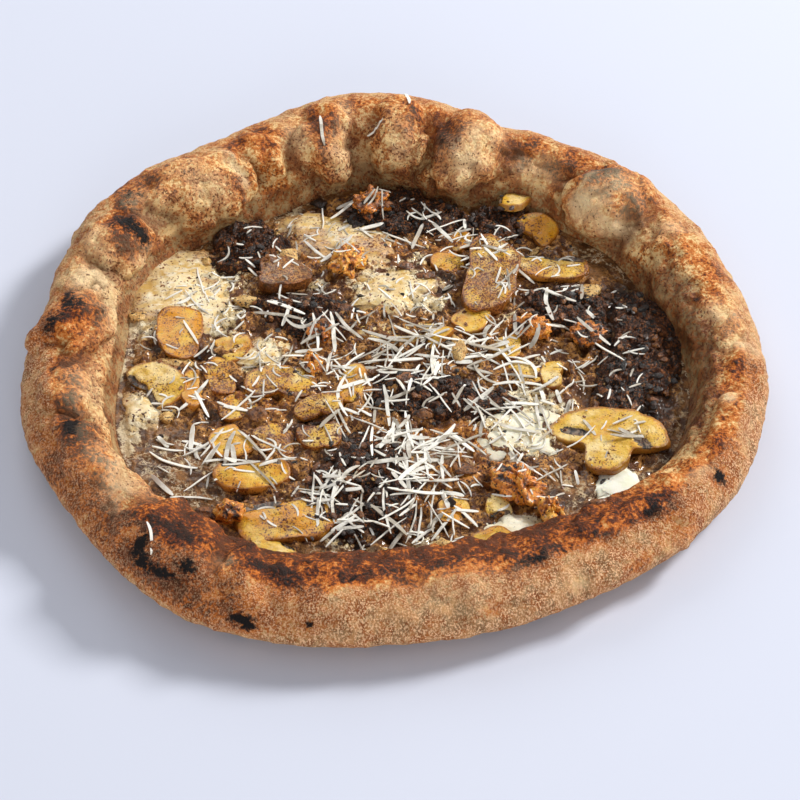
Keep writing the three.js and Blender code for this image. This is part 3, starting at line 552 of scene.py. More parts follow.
MILKY = [
    (-95, 52, 28, 18, 1), (-111, 28, 10, 16, 0.85), (-78, 28, 10, 16, 0.85), (-58, 4, 12, 13, 0.75),
    (-4, 50, 21, 14, 1), (16, 37, 13, 5, 0.8), (58, -33, 25, 15, 1), (62, -50, 13, 10, 0.9),
    (98, -77, 12, 16, 1), (-47, 96, 7, 12, 0.9), (-108, -30, 7, 11, 0.85), (55, -97, 13, 6, 0.85),
    (22, -108, 14, 6, 0.5), (0, -112, 14, 5, 0.5), (-36, 50, 7, 6, 0.6), (-72, -60, 7, 4, 0.6),
    (84, 50, 9, 5, 0.6), (-20, -108, 12, 5, 0.5), (66, -6, 10, 12, 0.5), (52, 26, 8, 6, 0.5),
    (-113, -42, 6, 15, 0.9), (-121, -4, 4, 14, 0.9), (-102, -62, 7, 8, 0.6), (90, 74, 9, 6, 0.5),
    (12, 68, 9, 5, 0.5),
]
BROWNED = [
    (-42, 75, 14, 16, 0.85), (-20, 62, 9, 9, 0.9), (-5, 75, 18, 8, 0.8), (25, 74, 13, 11, 0.7),
    (80, 62, 13, 10, 0.8), (60, 18, 12, 10, 0.85), (54, 0, 12, 14, 0.6), (30, -46, 27, 12, 0.85),
    (28, -66, 17, 9, 0.85), (50, -76, 15, 12, 0.9), (-60, -24, 23, 17, 0.85), (-45, -95, 22, 12, 0.6),
    (-28, 8, 9, 9, 0.7), (-70, -93, 8, 5, 0.9), (12, -84, 10, 12, 0.6), (92, 28, 8, 6, 0.5),
    (-92, -4, 16, 8, 0.5), (88, 46, 6, 6, 0.6), (38, 8, 8, 6, 0.5),
]
CREAM_STEPS = 460
CREAM_RINGS = 205
# How far the cream reaches up the rim's foot, and how far its underside stands off the base.
CREAM_OVERLAP = 1.2
CREAM_CLEARANCE = 0.3


def cream_level(x, y):
    """The cream's top: two crossed ripples plus low round lumps, rise * (1 - d^2)."""
    level = CREAM_TOP + 0.15 * np.sin(x / 7.3 + 1) * np.sin(y / 6.1) + 0.1 * np.sin((x + y) / 11)
    for centre_x, centre_y, radius, rise in CREAM_LUMPS:
        d = np.hypot(x - centre_x, y - centre_y) / radius
        level = level + rise * np.maximum(0, 1 - d**2)
    return level


def in_plan(x, y, z=0.0):
    """Points of the plan, all on one level unless z is given."""
    return np.stack([x, y, z + 0 * x], -1)


def spots_on_plan(rows, x, y):
    """How strongly the listed ovals cover points of the plan: 1 - product of
    (1 - strength * exp(-d^3)), d in half sizes."""
    clear = np.ones(x.shape)
    for centre_x, centre_y, half_x, half_y, strength in rows:
        d = np.hypot((x - centre_x) / half_x, (y - centre_y) / half_y)
        clear *= 1 - strength * np.exp(-(d**3))
    return 1 - clear


cream_direction = np.arange(CREAM_STEPS)[None, :] * 360 / CREAM_STEPS
cream_share = np.linspace(1, 0.01, CREAM_RINGS)[:, None]
cream_reach = (foot_radius(cream_direction) - FOOT_FILLET + CREAM_OVERLAP) * cream_share
cream_x = cream_reach * np.cos(np.radians(cream_direction))
cream_y = cream_reach * np.sin(np.radians(cream_direction))
flat = in_plan(cream_x, cream_y)
astray_x = cream_x + 6 * layered(flat, 13, 4, 47)
astray_y = cream_y + 6 * layered(flat, 13, 4, 57)
bare = spots_on_plan([(x, y, r, r, 1) for x, y, r in BARE_CREAM], astray_x, astray_y)
cover = ease(1 - bare, 0.15, 0.6) * ease(cream_share, 1.0, 0.93)
ridges = np.abs(layered(flat, 9, 3, 41))
lumps = 1.3 * layered(flat, 6.5, 4, 51) - 1.3 * np.abs(layered(flat, 3.2, 3, 57))
lumps = lumps + 0.7 * layered(flat, 2.4, 2, 59) + 0.4
mass = 2.2 - 6.5 * ridges + 3.2 * layered(flat, 4, 3, 44)
lumps = lumps * (1 - cover) + mass * cover
cream_z = cream_level(cream_x, cream_y) + lumps * ease(cream_share, 1, 0.96)
cream_floor = in_plan(cream_x, cream_y, BASE_TOP + CREAM_CLEARANCE)[[-1, 60, 0]]
cream_rings = np.concatenate([cream_floor, in_plan(cream_x, cream_y, cream_z)])[None]
# Painted shade: the bed's colour darkens in the low places of its relief.
bed_marks = {
    "cover": cover, "hollow_shade": ease(lumps, 1.6, -1.4),
    "dark": spots_on_plan(SCORCHED_AND_SHADOWED, astray_x, astray_y),
    "milky": spots_on_plan(MILKY, astray_x, astray_y),
    "browned": spots_on_plan(BROWNED, astray_x, astray_y),
}
cream = make_piece("mushroom_cream", cream_rings, {
    mark: np.concatenate([0 * cream_floor[..., 0], values]) for mark, values in bed_marks.items()
})

sauce, at = new_finish("wet_mushroom_cream")
patches = at.noise(8, 5.0, 0.65)
grains = at.noise(1.8, 4.0, 0.65)
strands = at.noise(3.0, 4.0, 0.65, (0.5, 1, 1))
hollow_shade = at.mark("hollow_shade")
foam = at.noise(7, 4.0, 0.62) - 0.5
threads = foam.most(0 - foam).ease(0.028, 0.006) * at.noise(11, 3.0, 0.6).ease(0.42, 0.56)
bare_colour = painted(
    patches.ease(0.4, 0.58).colours((78, 46, 20), (146, 100, 54)),
    (at.noise(6, 5.0, 0.7).ease(0.56, 0.64) * 0.85, (216, 190, 148)),
    (grains.ease(0.54, 0.64) * 0.75, (62, 40, 22)),
    (threads * 0.8, (226, 206, 172)),
)
medley = at.noise(4, 5.0, 0.72)
browned = (at.mark("browned") + medley.swing(1.5)).ease(0.4, 0.7)
milky = at.mark("milky") + patches.swing(1.2) + medley.swing(1.4) - hollow_shade * 0.25 + 0.06
milky = milky.ease(0.42, 0.64)
# Scorched patches and dark chopped mushroom, with painted shadow among them.
dark = (at.mark("dark") + medley.swing(2.0) + grains.swing(0.9)).ease(0.4, 0.66)
mixed = painted(
    medley.ease(0.44, 0.57).colours((98, 56, 26), (200, 142, 74)),
    (browned, grains.ease(0.4, 0.62).colours((128, 68, 26), (212, 144, 64))),
    (milky, strands.ease(0.4, 0.6).colours((226, 196, 138), (248, 236, 204))),
    # painted shade in the low places
    (hollow_shade.ease(0.35, 1.0) * 0.75, (88, 52, 28)),
    (dark * 0.95, patches.ease(0.4, 0.64).colours((14, 9, 7), (70, 40, 22))),
    (at.flecks(0.8, patches.ease(0.35, 0.65) * 0.8 + 0.1), (72, 36, 16)),
    (dark * grains.ease(0.6, 0.68) * 0.8, (190, 132, 76)),
)
colour = painted(
    bare_colour,
    (at.mark("cover"), mixed),
    (milky * (1 - at.mark("cover")) * 0.85, (240, 222, 182)),
)
height = patches * 0.5 + grains * 0.8 + strands * 0.2
coat(at, colour, 0.2 + grains * 0.4, height, 1.7, Specular_IOR_Level=0.2, Coat_Weight=0.4,
     Coat_Roughness=0.08)
cream.data.materials.append(sauce)
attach(cream, "root")
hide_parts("cream")

# ------------------------------------------------------------- the mozzarella
# Slices of mozzarella that melted into low, soft-edged puddles. They run out
# thin over the cream, with browned spots and a fibrous skin.

# Centre, level of the underside, half sizes, rise, turn.
CHEESES = {
    "mozzarella_left": (-96, 47, 7.6, 27, 31, 3, 20),
    "mozzarella_middle": (1, 47, 7.6, 24, 17, 4.8, 5),
    "mozzarella_right": (57, -39, 7.6, 22, 23, 3, 0),
    "mozzarella_white": (98, -78, 7.2, 15, 18, 2.4, -20),
    "mozzarella_front": (53, -100, 7.6, 16, 8, 2.4, -22),
    "mozzarella_centre_left": (-56, 3, 7.6, 16, 16, 3.6, 0),
    "mozzarella_left_front": (-108, -29, 6.8, 8, 14, 2.2, 30),
    "mozzarella_back": (-22, 79, 7.6, 35, 19, 5, -12),
    "mozzarella_front_middle": (19, -57, 7.6, 23, 14, 3.4, 8),
}
# How much each browned in the oven, in the same order.
CHEESE_BROWNING = [0.25, 0.4, -0.28, -0.6, -0.24, 0.4, 0.1, 0.5, 0.8]
# How much of its relief a puddle keeps that didn't brown.
UNBROWNED_RELIEF = 0.18
# How far a puddle or a heap is sunk into the bed.
MOUND_SINK = 0.9


def circle(steps):
    """The directions of a ring's steps, in radians."""
    return np.arange(steps)[None, :] * 2 * np.pi / steps


def rotated(angle, u, v, x=0, y=0):
    """u and v turned by the angle round 0, 0, then moved by x, y."""
    return x + u * np.cos(angle) - v * np.sin(angle), y + u * np.sin(angle) + v * np.cos(angle)


def waviness(angle, seed, depth):
    """A lumpy factor round 1: waves of 2, 3 and 5 turns whose phases come from the seed."""
    waves = np.sin(2 * angle + seed * 1.7) + 0.7 * np.sin(3 * angle + seed * 2.9)
    waves = waves + 0.5 * np.sin(5 * angle + seed * 4.1)
    return 1 + depth * waves / 2


def mounds(rows, seeds, rings, steps, lumps, rough, power, ragged):
    """Low domes with wavy outlines, (items, rings, steps, 3), and the share of the way out at
    each ring. The height over the outline follows (1 - share^2.4)^power, and rough noise of a
    few sizes is added. ragged noise in mm moves the outline in plan."""
    x, y, z, rx, ry, rise, turn = np.array(list(rows), float).T[:, :, None, None]
    seed = np.array(seeds, float)[:, None, None]
    angle = circle(steps)
    share = np.concatenate([[0.5, 0.9], 1 - np.linspace(0, 0.985, rings) ** 1.2])[None, :, None]
    under = (np.arange(rings + 2) < 2)[None, :, None]
    outline = share * waviness(angle, seed, 0.3)
    across = rx * outline * np.cos(angle)
    along = ry * outline * np.sin(angle)
    px, py = rotated(np.radians(turn), across, along, x, y)
    smooth = in_plan(px, py)
    px = px + ragged * share * layered(smooth, 8, 4, 105)
    py = py + ragged * share * layered(smooth, 8, 4, 109)
    bump = lumps * np.sin(5 * angle + seed + 9 * share) * np.sin(3 * angle - seed)
    dome = rise * np.maximum(0, 1 - share**2.4) ** power + bump * ease(share, 0.95, 0.85)
    dome = dome + rough(in_plan(px, py)) * ease(share, 1.0, 0.9)
    height = np.maximum(dome + MOUND_SINK * ease(share, 1, 0.9), 0)
    return in_plan(px, py, z - MOUND_SINK + np.where(under, 0, height)), share


def plan_marks(points):
    """The bed's dark marks, scorching with painted shadow among them, and its browned marks for
    points of any piece, so that they run on across it."""
    x = points[..., 0] + 4 * layered(points, 9, 3, 47)
    y = points[..., 1] + 4 * layered(points, 9, 3, 57)
    return {"dark": spots_on_plan(SCORCHED_AND_SHADOWED, x, y), "browned": spots_on_plan(BROWNED, x, y)}


cheese_browning = np.array(CHEESE_BROWNING)[:, None, None]
flowed = np.where(cheese_browning < 0, UNBROWNED_RELIEF, 1.0)


def melted_skin(spots):
    """The cheese's relief: soft swells, dents between them and a fine grain, less of each where
    the cheese ran flat."""
    swells = 1.1 * layered(spots, 9, 3, 61) - 0.5 * np.abs(layered(spots, 5, 2, 63))
    return flowed * (swells + 0.2 * layered(spots, 2.6, 2, 66))


cheese_rings, cheese_edge = mounds(
    CHEESES.values(), np.arange(9) + 21, 64, 132, 0, melted_skin, 0.85, 7.0)
cheese = make_piece("melted_mozzarella", cheese_rings, {
    "edge": cheese_edge, "browning": cheese_browning, **plan_marks(cheese_rings),
})

melt, at = new_finish("melted_cheese")
soft = at.noise(7, 4.0, 0.6)
fibres = at.noise(3.0, 4.0, 0.65, (0.5, 1, 1))
speck = at.noise(1.5, 4.0, 0.7)
browning = at.mark("browning")
browned = (browning * 0.7 + at.mark("browned") * 0.6 + soft.swing(1.8)).ease(0.4, 0.7)
thin = (at.mark("edge") + at.noise(7, 5.0, 0.65).swing(1.8)).ease(0.6, 0.95)
# Scorched spots from the bed's dark marks, painted shadow among them.
scorch_and_shadow = (at.mark("dark") * 0.8 + soft.swing(1.2) + speck.swing(0.8)).ease(0.4, 0.8)
white = soft.ease(0.3, 0.7).colours((240, 240, 214), (252, 250, 236))
colour = painted(
    soft.ease(0.35, 0.62).colours((218, 180, 102), (242, 224, 178)),
    (fibres.ease(0.5, 0.64) * 0.65, (248, 242, 220)),
    (fibres.ease(0.44, 0.34) * 0.35, (226, 188, 118)),
    (browned * 0.7, speck.ease(0.42, 0.6).colours((130, 70, 26), (220, 158, 76))),
    ((browning + speck.swing(1.8)).ease(0.6, 0.9) * 0.8, (84, 46, 24)),
    (thin * 0.85, speck.ease(0.4, 0.6).colours((128, 84, 46), (206, 164, 106))),
    (scorch_and_shadow * 0.9, speck.ease(0.4, 0.65).colours((40, 24, 16), (110, 64, 32))),
    (at.flecks(0.8, browning * 0.6 + soft.ease(0.3, 0.7) * 0.5 - 0.05), (112, 54, 16)),
    (browning.ease(-0.05, -0.4), white),
)
coat(at, colour, 0.26 + speck * 0.2, soft * 0.5 + fibres * 0.3 + speck * 0.2, 0.6,
     Coat_Weight=0.4, Coat_Roughness=0.12, Subsurface_Weight=0.25, Subsurface_Radius=(0.005, 0.004, 0.003))
cheese.data.materials.append(melt)
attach(cheese, "root")
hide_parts(*CHEESES)

# ----------------------------------------------------- the dark mushroom heaps
# Chopped dark mushroom, roasted until it is nearly black, heaped by hand. Each
# heap is a craggy mass with small pieces standing out of it.

# Centre, level of the underside, half sizes, rise, turn.
HEAPS = {
    "dark_heap_left_back": (-67, 77, 7.6, 17, 22, 5.6, 15),
    "dark_heap_left": (-40, 30, 7.6, 27, 14, 5.2, -4),
    "dark_heap_back": (5, 100, 7.6, 31, 15, 6.6, -3),
    "dark_heap_back_right": (48, 91, 7.6, 14, 18, 6.2, -12),
    "dark_heap_middle": (20, -23, 7.6, 31, 17, 5.8, -8),
    "dark_heap_right_back": (81, 33, 7.6, 23, 16, 5.8, -12),
    "dark_heap_right": (110, 5, 7.6, 20, 39, 6.6, -10),
    "dark_heap_front": (-12, -78, 7.6, 23, 33, 5.4, 16),
}


def crags(spots):
    """Chopped relief: the ridges of two sizes of noise, sharp where the noise crosses 0."""
    return 1.0 - 4.4 * np.abs(layered(spots, 6.5, 3, 71)) + 2.0 * layered(spots, 2.8, 2, 76)


heap_rings, _ = mounds(HEAPS.values(), np.arange(8) + 1, 70, 150, 0.8, crags, 0.5, 5.0)
heaps = make_piece("dark_mushroom_heaps", heap_rings)

roast, at = new_finish("roasted_dark_mushroom")
coarse = at.noise(5, 5.0, 0.68)
fine = at.noise(1.3, 4.0, 0.7)
patch = at.noise(5, 5.0, 0.68).ease(0.56, 0.66) * 0.7
colour = painted(
    coarse.ease(0.4, 0.64).colours((9, 5, 4), (66, 34, 17)),
    (fine.ease(0.52, 0.66) * 0.7, (116, 62, 28)),
    (patch, fine.ease(0.4, 0.6).colours((100, 48, 20), (170, 104, 50))),
    (at.noise(6, 4.0, 0.65, (1, 1.3, 1)).ease(0.62, 0.7) * 0.7, (184, 138, 88)),
    (at.flecks(0.6, 0.55) * 0.8, (150, 88, 40)),
)
coat(at, colour, 0.12 + fine * 0.5, coarse * 0.8 + fine * 0.8, 2.0, Specular_IOR_Level=0.35)
heaps.data.materials.append(roast)
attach(heaps, "root")
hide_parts(*HEAPS)

# --------------------------------------------------------- the mushroom slices
# Brown-capped mushrooms, sliced across and roasted: pale yellow flesh, an
# orange-brown skin round the cap and dark gills under it.

# Kind: whole (cap and stalk), cap (half-moon) or piece. Then x, y, middle of the
# thickness, wide, deep, thick, turn, lean about x and y; how yellow, how much
# skin shows, how much gill shows, how thickly dusted.
MUSHROOMS = [
    ("whole", 94, -47, 12.4, 51, 42, 4.2, -8, 2, -2, 0.45, 0.9, 1.0, 0.25),
    ("piece", -95.5, 19, 11.4, 22, 33, 3.6, -6, -3, 4, 1.0, 0.3, 0.0, 0.55),
    ("cap", -73, 8, 11, 17, 17, 3.8, -65, 4, 0, 0.7, 0.8, 0.8, 0.5),
    ("cap", -104, -15, 11, 29, 19, 4, -52, 8, 0, 0.35, 0.9, 1.0, 0.25),
    ("piece", -87.5, -19, 11, 9, 26, 4, 4, 0, 8, 0.8, 0.5, 0.0, 0.45),
    ("piece", -76, -10, 11, 13, 22, 3.6, 8, 3, 5, 0.8, 0.5, 0.2, 0.9),
    ("cap", -67.5, -50, 11, 21, 17, 4.4, 125, 4, 0, 0.8, 1.0, 0.0, 0.4),
    ("cap", -59, -69, 11.5, 31, 16, 5.6, 184, -6, 0, 0.7, 1.0, 0.8, 0.4),
    ("cap", -42, -92, 11.2, 46, 25, 3.8, 193, 2, 2, 0.85, 0.3, 0.7, 0.55),
    ("cap", -49, -108.5, 10.4, 24, 9, 3.4, 148, 6, 0, 0.6, 0.3, 1.0, 0.15),
    ("cap", -49, -17, 12.6, 32, 18, 4, -5, 0, 3, 0.6, 0.5, 0.5, 0.95),
    ("piece", -66.5, -29, 10.8, 16, 16, 3.8, 20, 3, 3, 0.6, 0.2, 0.0, 0.9),
    ("cap", -31, -46, 12, 19, 14, 4.4, 190, -6, 0, 0.3, 1.0, 1.0, 0.9),
    ("piece", -17.5, -17, 12.8, 14, 21, 3.6, -10, 4, -4, 0.75, 0.3, 0.0, 0.35),
    ("cap", -31, -31, 12.8, 21, 12, 3.8, 12, 3, 0, 0.5, 0.5, 0.4, 0.9),
    ("piece", -50, 55, 13.2, 21, 23, 8.5, 12, -2, 4, 0.25, 1.0, 0.0, 1.8),
    ("piece", -50, -48.5, 10.8, 18, 17, 3.8, 5, 0, 4, 0.6, 0.3, 0.3, 1.0),
    ("piece", 46, 53, 14, 25, 46, 8, -3, 3, 3, 0.5, 0.4, 0.0, 1.0),
    ("piece", 36, 25, 12, 15, 17, 5.5, -30, 4, 0, 0.7, 0.2, 0.0, 0.3),
    ("cap", 57, 106, 15.5, 23, 14, 4, -100, 0, -24, 0.35, 0.3, 1.0, 0.1),
    ("cap", 68.5, 89, 11.4, 21, 16, 3.8, -40, 4, 8, 0.9, 0.1, 0.4, 0.25),
    ("cap", 75, 62, 12.4, 34, 17, 4.4, 172, 3, 0, 0.5, 0.5, 1.0, 0.7),
    ("piece", 33, 80, 12, 14, 12, 3.6, 25, 4, 0, 0.9, 0.2, 0.0, 0.6),
    ("piece", 26, 65, 11.6, 15, 13, 3.8, 10, 0, 4, 0.9, 0.2, 0.2, 0.6),
    ("piece", 43, -110, 10.8, 28, 17, 3.8, 8, 3, -3, 0.9, 0.6, 0.0, 0.2),
    ("piece", 26, -89, 10.8, 12, 15, 3.6, -8, 0, 4, 0.9, 0.3, 0.0, 0.3),
    ("cap", 45, -88.5, 11, 11, 11, 4, 10, 6, 0, 0.2, 0.6, 1.0, 0.2),
    ("cap", 3, 20.5, 11, 38, 18, 4, 178, 4, 0, 0.15, 0.6, 1.0, 0.4),
    ("cap", 22, 12.5, 13, 17, 6.5, 4.4, 48, 0, -6, 0.9, 0.6, 0.0, 0.0),
    ("piece", 52, 7.5, 12, 12, 15, 4.4, 5, 4, 4, 0.5, 0.1, 0.0, 0.3),
    ("piece", 59, -9, 12, 13, 17, 4.4, 14, 3, -4, 0.6, 0.2, 0.0, 0.5),
    ("cap", 72, -9.5, 11.8, 18, 10, 4.4, 85, 0, 4, 0.4, 1.0, 0.3, 0.4),
]
SLICE_STEPS = 96
SLICE_SINK = 1.9
# The whole one shows its gills in two lens-shaped windows: middle and tilt on the slice.
GILL_WINDOWS = [(-15.0, -0.6, -0.1), (14.3, -4.0, -0.75)]


def slice_outline(kind, wide, deep, angle, seed):
    """Distance from a slice's middle to its outline: a squared-off oval for a piece, a dome cut off
    by the gills for a cap, and the dome with a straight stalk below it for a whole slice."""
    across = np.abs(np.cos(angle))
    up = np.sin(angle)

    def oval(half_wide, half_deep, power):
        return ((across / half_wide) ** power + (np.abs(up) / half_deep) ** power) ** (-1 / power)

    if kind == "piece":
        return oval(wide / 2, deep / 2, 2.6) * waviness(angle, seed, 0.22)
    whole = kind == "whole"
    radius = oval(wide / 2, deep * (0.36 if whole else 0.62), 2.2)
    below = deep * (0.14 if whole else 0.22 + 0.16 * np.minimum(1, across / 0.75)) / np.maximum(-up, 0.001)
    radius = np.where(up < 0, np.minimum(radius, below), radius)
    if whole:
        stalk = np.minimum(wide * 0.18 / np.maximum(across, 0.001), deep * 0.56 / np.maximum(-up, 0.001))
        radius = np.where(up < 0, np.maximum(radius, stalk), radius)
    return radius * waviness(angle, seed, 0.09)


def mushroom_slice(row, seed):
    """One slice as rings from the middle of its underside round the edge to the middle of its top.
    The edge is rounded, the slice curls along its width and its faces are gently uneven."""
    kind, x, y, z, wide, deep, thick, turn, lean_x, lean_y, yellow, skin, gill, dust = row
    angle = circle(SLICE_STEPS) + 0.05
    edge = np.radians(np.linspace(-90, 90, 11))[1:-1]
    rounded = 0.97 + 0.03 * np.cos(edge) ** 0.5
    inset = np.concatenate([[0.1, 0.5, 0.85], rounded, np.linspace(0.97, 0.04, 19)])[:, None]
    climb = np.sign(edge) * np.abs(np.sin(edge)) ** 0.7
    lift = np.concatenate([[-1, -1, -1], climb, np.full(19, 1.0)])[:, None]
    outline = slice_outline(kind, wide, deep, angle, seed)
    blur = 4 if kind == "whole" else 2
    smooth = sum(np.roll(outline, k, axis=1) for k in range(-blur, blur + 1)) / (2 * blur + 1)
    u = smooth * inset * np.cos(angle)
    v = smooth * inset * np.sin(angle)
    spots = np.stack([u + 40 * seed, v, 3 * lift + 0 * u], -1)
    u = u * (1 + 0.13 * layered(spots, 9, 3, seed))
    v = v * (1 + 0.13 * layered(spots, 9, 3, seed + 50))
    out_from_stalk = np.abs(u) / wide
    wander = 1.6 * layered(spots, 5, 3, seed + 30)
    if kind == "cap":
        under_cap = -0.38 * deep
        gills = ease(v + wander, under_cap + 0.2 * deep, under_cap + 0.12 * deep)
        gills = gills * ease(out_from_stalk, 0.44, 0.38)
    elif kind == "whole":
        windows = [rotated(-tilt, u - a, v - b) for a, b, tilt in GILL_WINDOWS]
        nearest = np.min([np.hypot(long_way, 2.6 * short_way) for long_way, short_way in windows], axis=0)
        gills = ease(nearest + wander, 7.0, 5.6)
    else:
        gills = ease(v, -0.28 * deep, -0.36 * deep) * ease(out_from_stalk, 0.3, 0.2)
    gills = gills * gill * (lift > 0.5)
    curl = 0.9 * ((2 * u / wide) ** 2 - 0.4)
    w = lift * thick * 0.42 - curl
    w = w + 1.3 * layered(spots, 12, 3, seed + 7) + 0.25 * layered(spots, 2.5, 2, seed + 9) - gills
    skin_side = ease(np.sin(angle), -0.35, 0.05)
    if kind == "piece":
        skin_side = ease(np.sin(angle + 2.2), -0.1, 0.3)
    skinned = skin * skin_side * ease(inset, 0.88, 0.975) * (lift < 0.995)
    fringe = ease(inset, 0.8, 0.98) * (lift > -0.9)
    turned, about_x, about_y = np.radians([turn, lean_x, lean_y])
    u, w = rotated(-about_y, u, w)
    v, w = rotated(about_x, v, w)
    px, py = rotated(turned, u, v, x, y)
    marks = [yellow, skinned, gills, dust, fringe]
    return np.stack([px, py, z - SLICE_SINK + w, *[mark + 0 * u for mark in marks]], -1)


slices = np.stack([mushroom_slice(row, i + 1) for i, row in enumerate(MUSHROOMS)])
slice_rings = slices[..., :3]
slice_marks = zip(("yellow", "skin", "gill", "dust", "fringe"), np.moveaxis(slices[..., 3:], -1, 0))
mushrooms = make_piece("mushroom_slices", slice_rings, {
    "dark": plan_marks(slice_rings)["dark"], **dict(slice_marks),
})

flesh, at = new_finish("roasted_mushroom")
soft = at.noise(8, 4.0, 0.6)
fibre = at.noise(2.2, 4.0, 0.65)
leaves = at.noise(1.3, 2.0, 0.6, (1, 0.35, 1))
cloud = at.noise(12, 4.0, 0.62)
yellow = at.mark("yellow") * 0.95 + at.mark("fringe") * 0.25 + soft.swing(2.6) - 0.05
fringed = (at.mark("fringe") + fibre.swing(1.1)).ease(0.5, 1.0)
skinned = (at.mark("skin") + fibre.swing(0.5)).ease(0.25, 0.6)
gilled = (at.mark("gill") + fibre.swing(1.1)).ease(0.3, 0.6)
# The bed's dark marks, painted shadow among them, deepen the dust a little.
powder = at.mark("dust") * 1.1 + at.mark("dark") * 0.2 - 0.05 + cloud.swing(3.8)
colour = painted(
    yellow.ease(0.0, 0.5).colours((240, 212, 142), (222, 178, 62)),
    (yellow.ease(0.45, 1.05), (212, 142, 2)),
    (fibre.ease(0.5, 0.7) * 0.35, (172, 114, 50)),
    (fringed * 0.75, (142, 80, 28)),
    (skinned, soft.ease(0.35, 0.6).colours((136, 72, 24), (206, 134, 48))),
    (gilled, leaves.ease(0.4, 0.62).colours((32, 24, 20), (128, 106, 84))),
    (powder.ease(0.45, 1.5) * 0.8, fibre.ease(0.35, 0.65).colours((104, 54, 20), (180, 108, 42))),
    (at.flecks(0.52, powder.ease(-0.2, 1.4) * 1.1), (100, 46, 6)),
    (powder.ease(1.5, 2.8) * 0.85, fibre.ease(0.35, 0.65).colours((36, 20, 12), (104, 60, 30))),
)
coat(at, colour, 0.2 + fibre * 0.4, soft * 0.8 + fibre * 0.6, 1.0, Specular_IOR_Level=0.4, Coat_Weight=0.4,
     Coat_Roughness=0.08, Subsurface_Weight=0.12, Subsurface_Radius=(0.004, 0.0025, 0.001))
mushrooms.data.materials.append(flesh)
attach(mushrooms, "root")
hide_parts(*[f"mushroom_{i + 1}" for i in range(len(MUSHROOMS))])

# --------------------------------------------------------- the sausage crumbles
# Fried sausage meat broken into crumbles, craggy and browned, with oily edges.

# Centre, half sizes, turn.
SAUSAGES = [
    (-20.5, 62.5, 14.2, 7, 8.5, 4.2, 10), (-9, 102, 15.4, 8.5, 8, 4.4, 30),
    (-35, -4.5, 12.2, 4.2, 6, 4, 5), (-32, 16.5, 13.2, 5.5, 5.5, 4, 0),
    (63, 19, 12.6, 8.5, 7.2, 4.8, -10), (88, 13, 14.2, 7.5, 6, 4, 20),
    (53, -77, 12.8, 12, 7.5, 5, -38), (67, -93, 12.2, 4.8, 7, 4.4, 6),
    (-67, -92, 11.6, 5.8, 4.4, 3.8, -20),
]
# How dark each is fried, in the same order.
SAUSAGE_FRYING = [0.1, 0.6, 0.2, 0.6, 0.35, 0.6, 0.35, 0.05, 0.3]


def lumps_of(rows, seeds, rings, steps, craggy):
    """Craggy balls, and how deep in a cleft each point lies. The reach of an oval ball is
    scaled by two waves round it and by noise of a few mm, folded into clefts where it is far
    from 0."""
    x, y, z, rx, ry, rz, turn = np.array(list(rows), float).T[:, :, None, None]
    seed = np.array(seeds, float)[:, None, None]
    around = circle(steps)
    tilt = np.radians(np.linspace(-88, 88, rings))[None, :, None]
    crag = 1 + 0.16 * np.sin(3 * around + seed * 2.3 + tilt * 2) * np.cos(2 * around + seed)
    ball = np.stack([
        rx * np.cos(tilt) * np.cos(around),
        ry * np.cos(tilt) * np.sin(around),
        rz * np.sin(tilt) + 0 * around,
    ], -1)
    spots = ball + seed[..., None] * 31.7
    clefts = np.abs(layered(spots, 4.2, 3, 81))
    crag = crag + craggy * (0.2 + 1.2 * layered(spots, 2.6, 3, 86) - 0.9 * clefts)
    u, v, w = np.moveaxis(ball * crag[..., None], -1, 0)
    px, py = rotated(np.radians(turn), u, v, x, y)
    return np.stack([px, py, z + w], -1), ease(clefts, 0.12, 0.42)


# The depth in the clefts darkens the meat's colour as painted shade.
sausage_rings, clefts = lumps_of(SAUSAGES, np.arange(9) + 1, 56, 96, 0.5)
sausage = make_piece("sausage_crumbles", sausage_rings, {
    "frying": np.array(SAUSAGE_FRYING)[:, None, None], "clefts": clefts,
})

meat, at = new_finish("fried_sausage")
coarse = at.noise(3.5, 4.0, 0.65)
fine = at.noise(1.0, 3.0, 0.6)
# Darker with frying, and darker in the clefts as painted shade.
frying_and_cleft_shade = at.mark("frying") * 0.7 + 0.12 + at.mark("clefts") * 0.6 + coarse.swing(1.8)
colour = painted(
    frying_and_cleft_shade.ease(0.0, 0.4).colours((250, 190, 84), (226, 134, 36)),
    (frying_and_cleft_shade.ease(0.35, 0.7), (140, 70, 20)),
    (frying_and_cleft_shade.ease(0.65, 0.95), (44, 24, 16)),
    (fine.ease(0.56, 0.7) * 0.6, (228, 176, 110)),
    (at.flecks(0.7, 0.5), (70, 36, 14)),
)
coat(at, colour, 0.22 + fine * 0.3, coarse * 0.5 + fine * 0.6, 1.0,
     Specular_IOR_Level=0.4, Coat_Weight=0.5, Coat_Roughness=0.1)
sausage.data.materials.append(meat)
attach(sausage, "root")
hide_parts(*[f"sausage_{i + 1}" for i in range(len(SAUSAGES))])

# ------------------------------------------------------------- the loose bits
# Small broken pieces of mushroom, crust crumb and sausage that fell between
# the larger toppings, and the chopped bits that stand out of the dark heaps.
SURFACE_CELL = 0.8
SURFACE_HALF = 180.0
# Above this level lies only the rim. Crumbs keep this far from its foot.
RIM_LEVEL = 19
FOOT_CLEARANCE = 5
CRUMBS = 260
CRUMB_REACH = 118
# The share of its height that a bit is sunk into what it lies on.
BIT_SUNK = 0.55


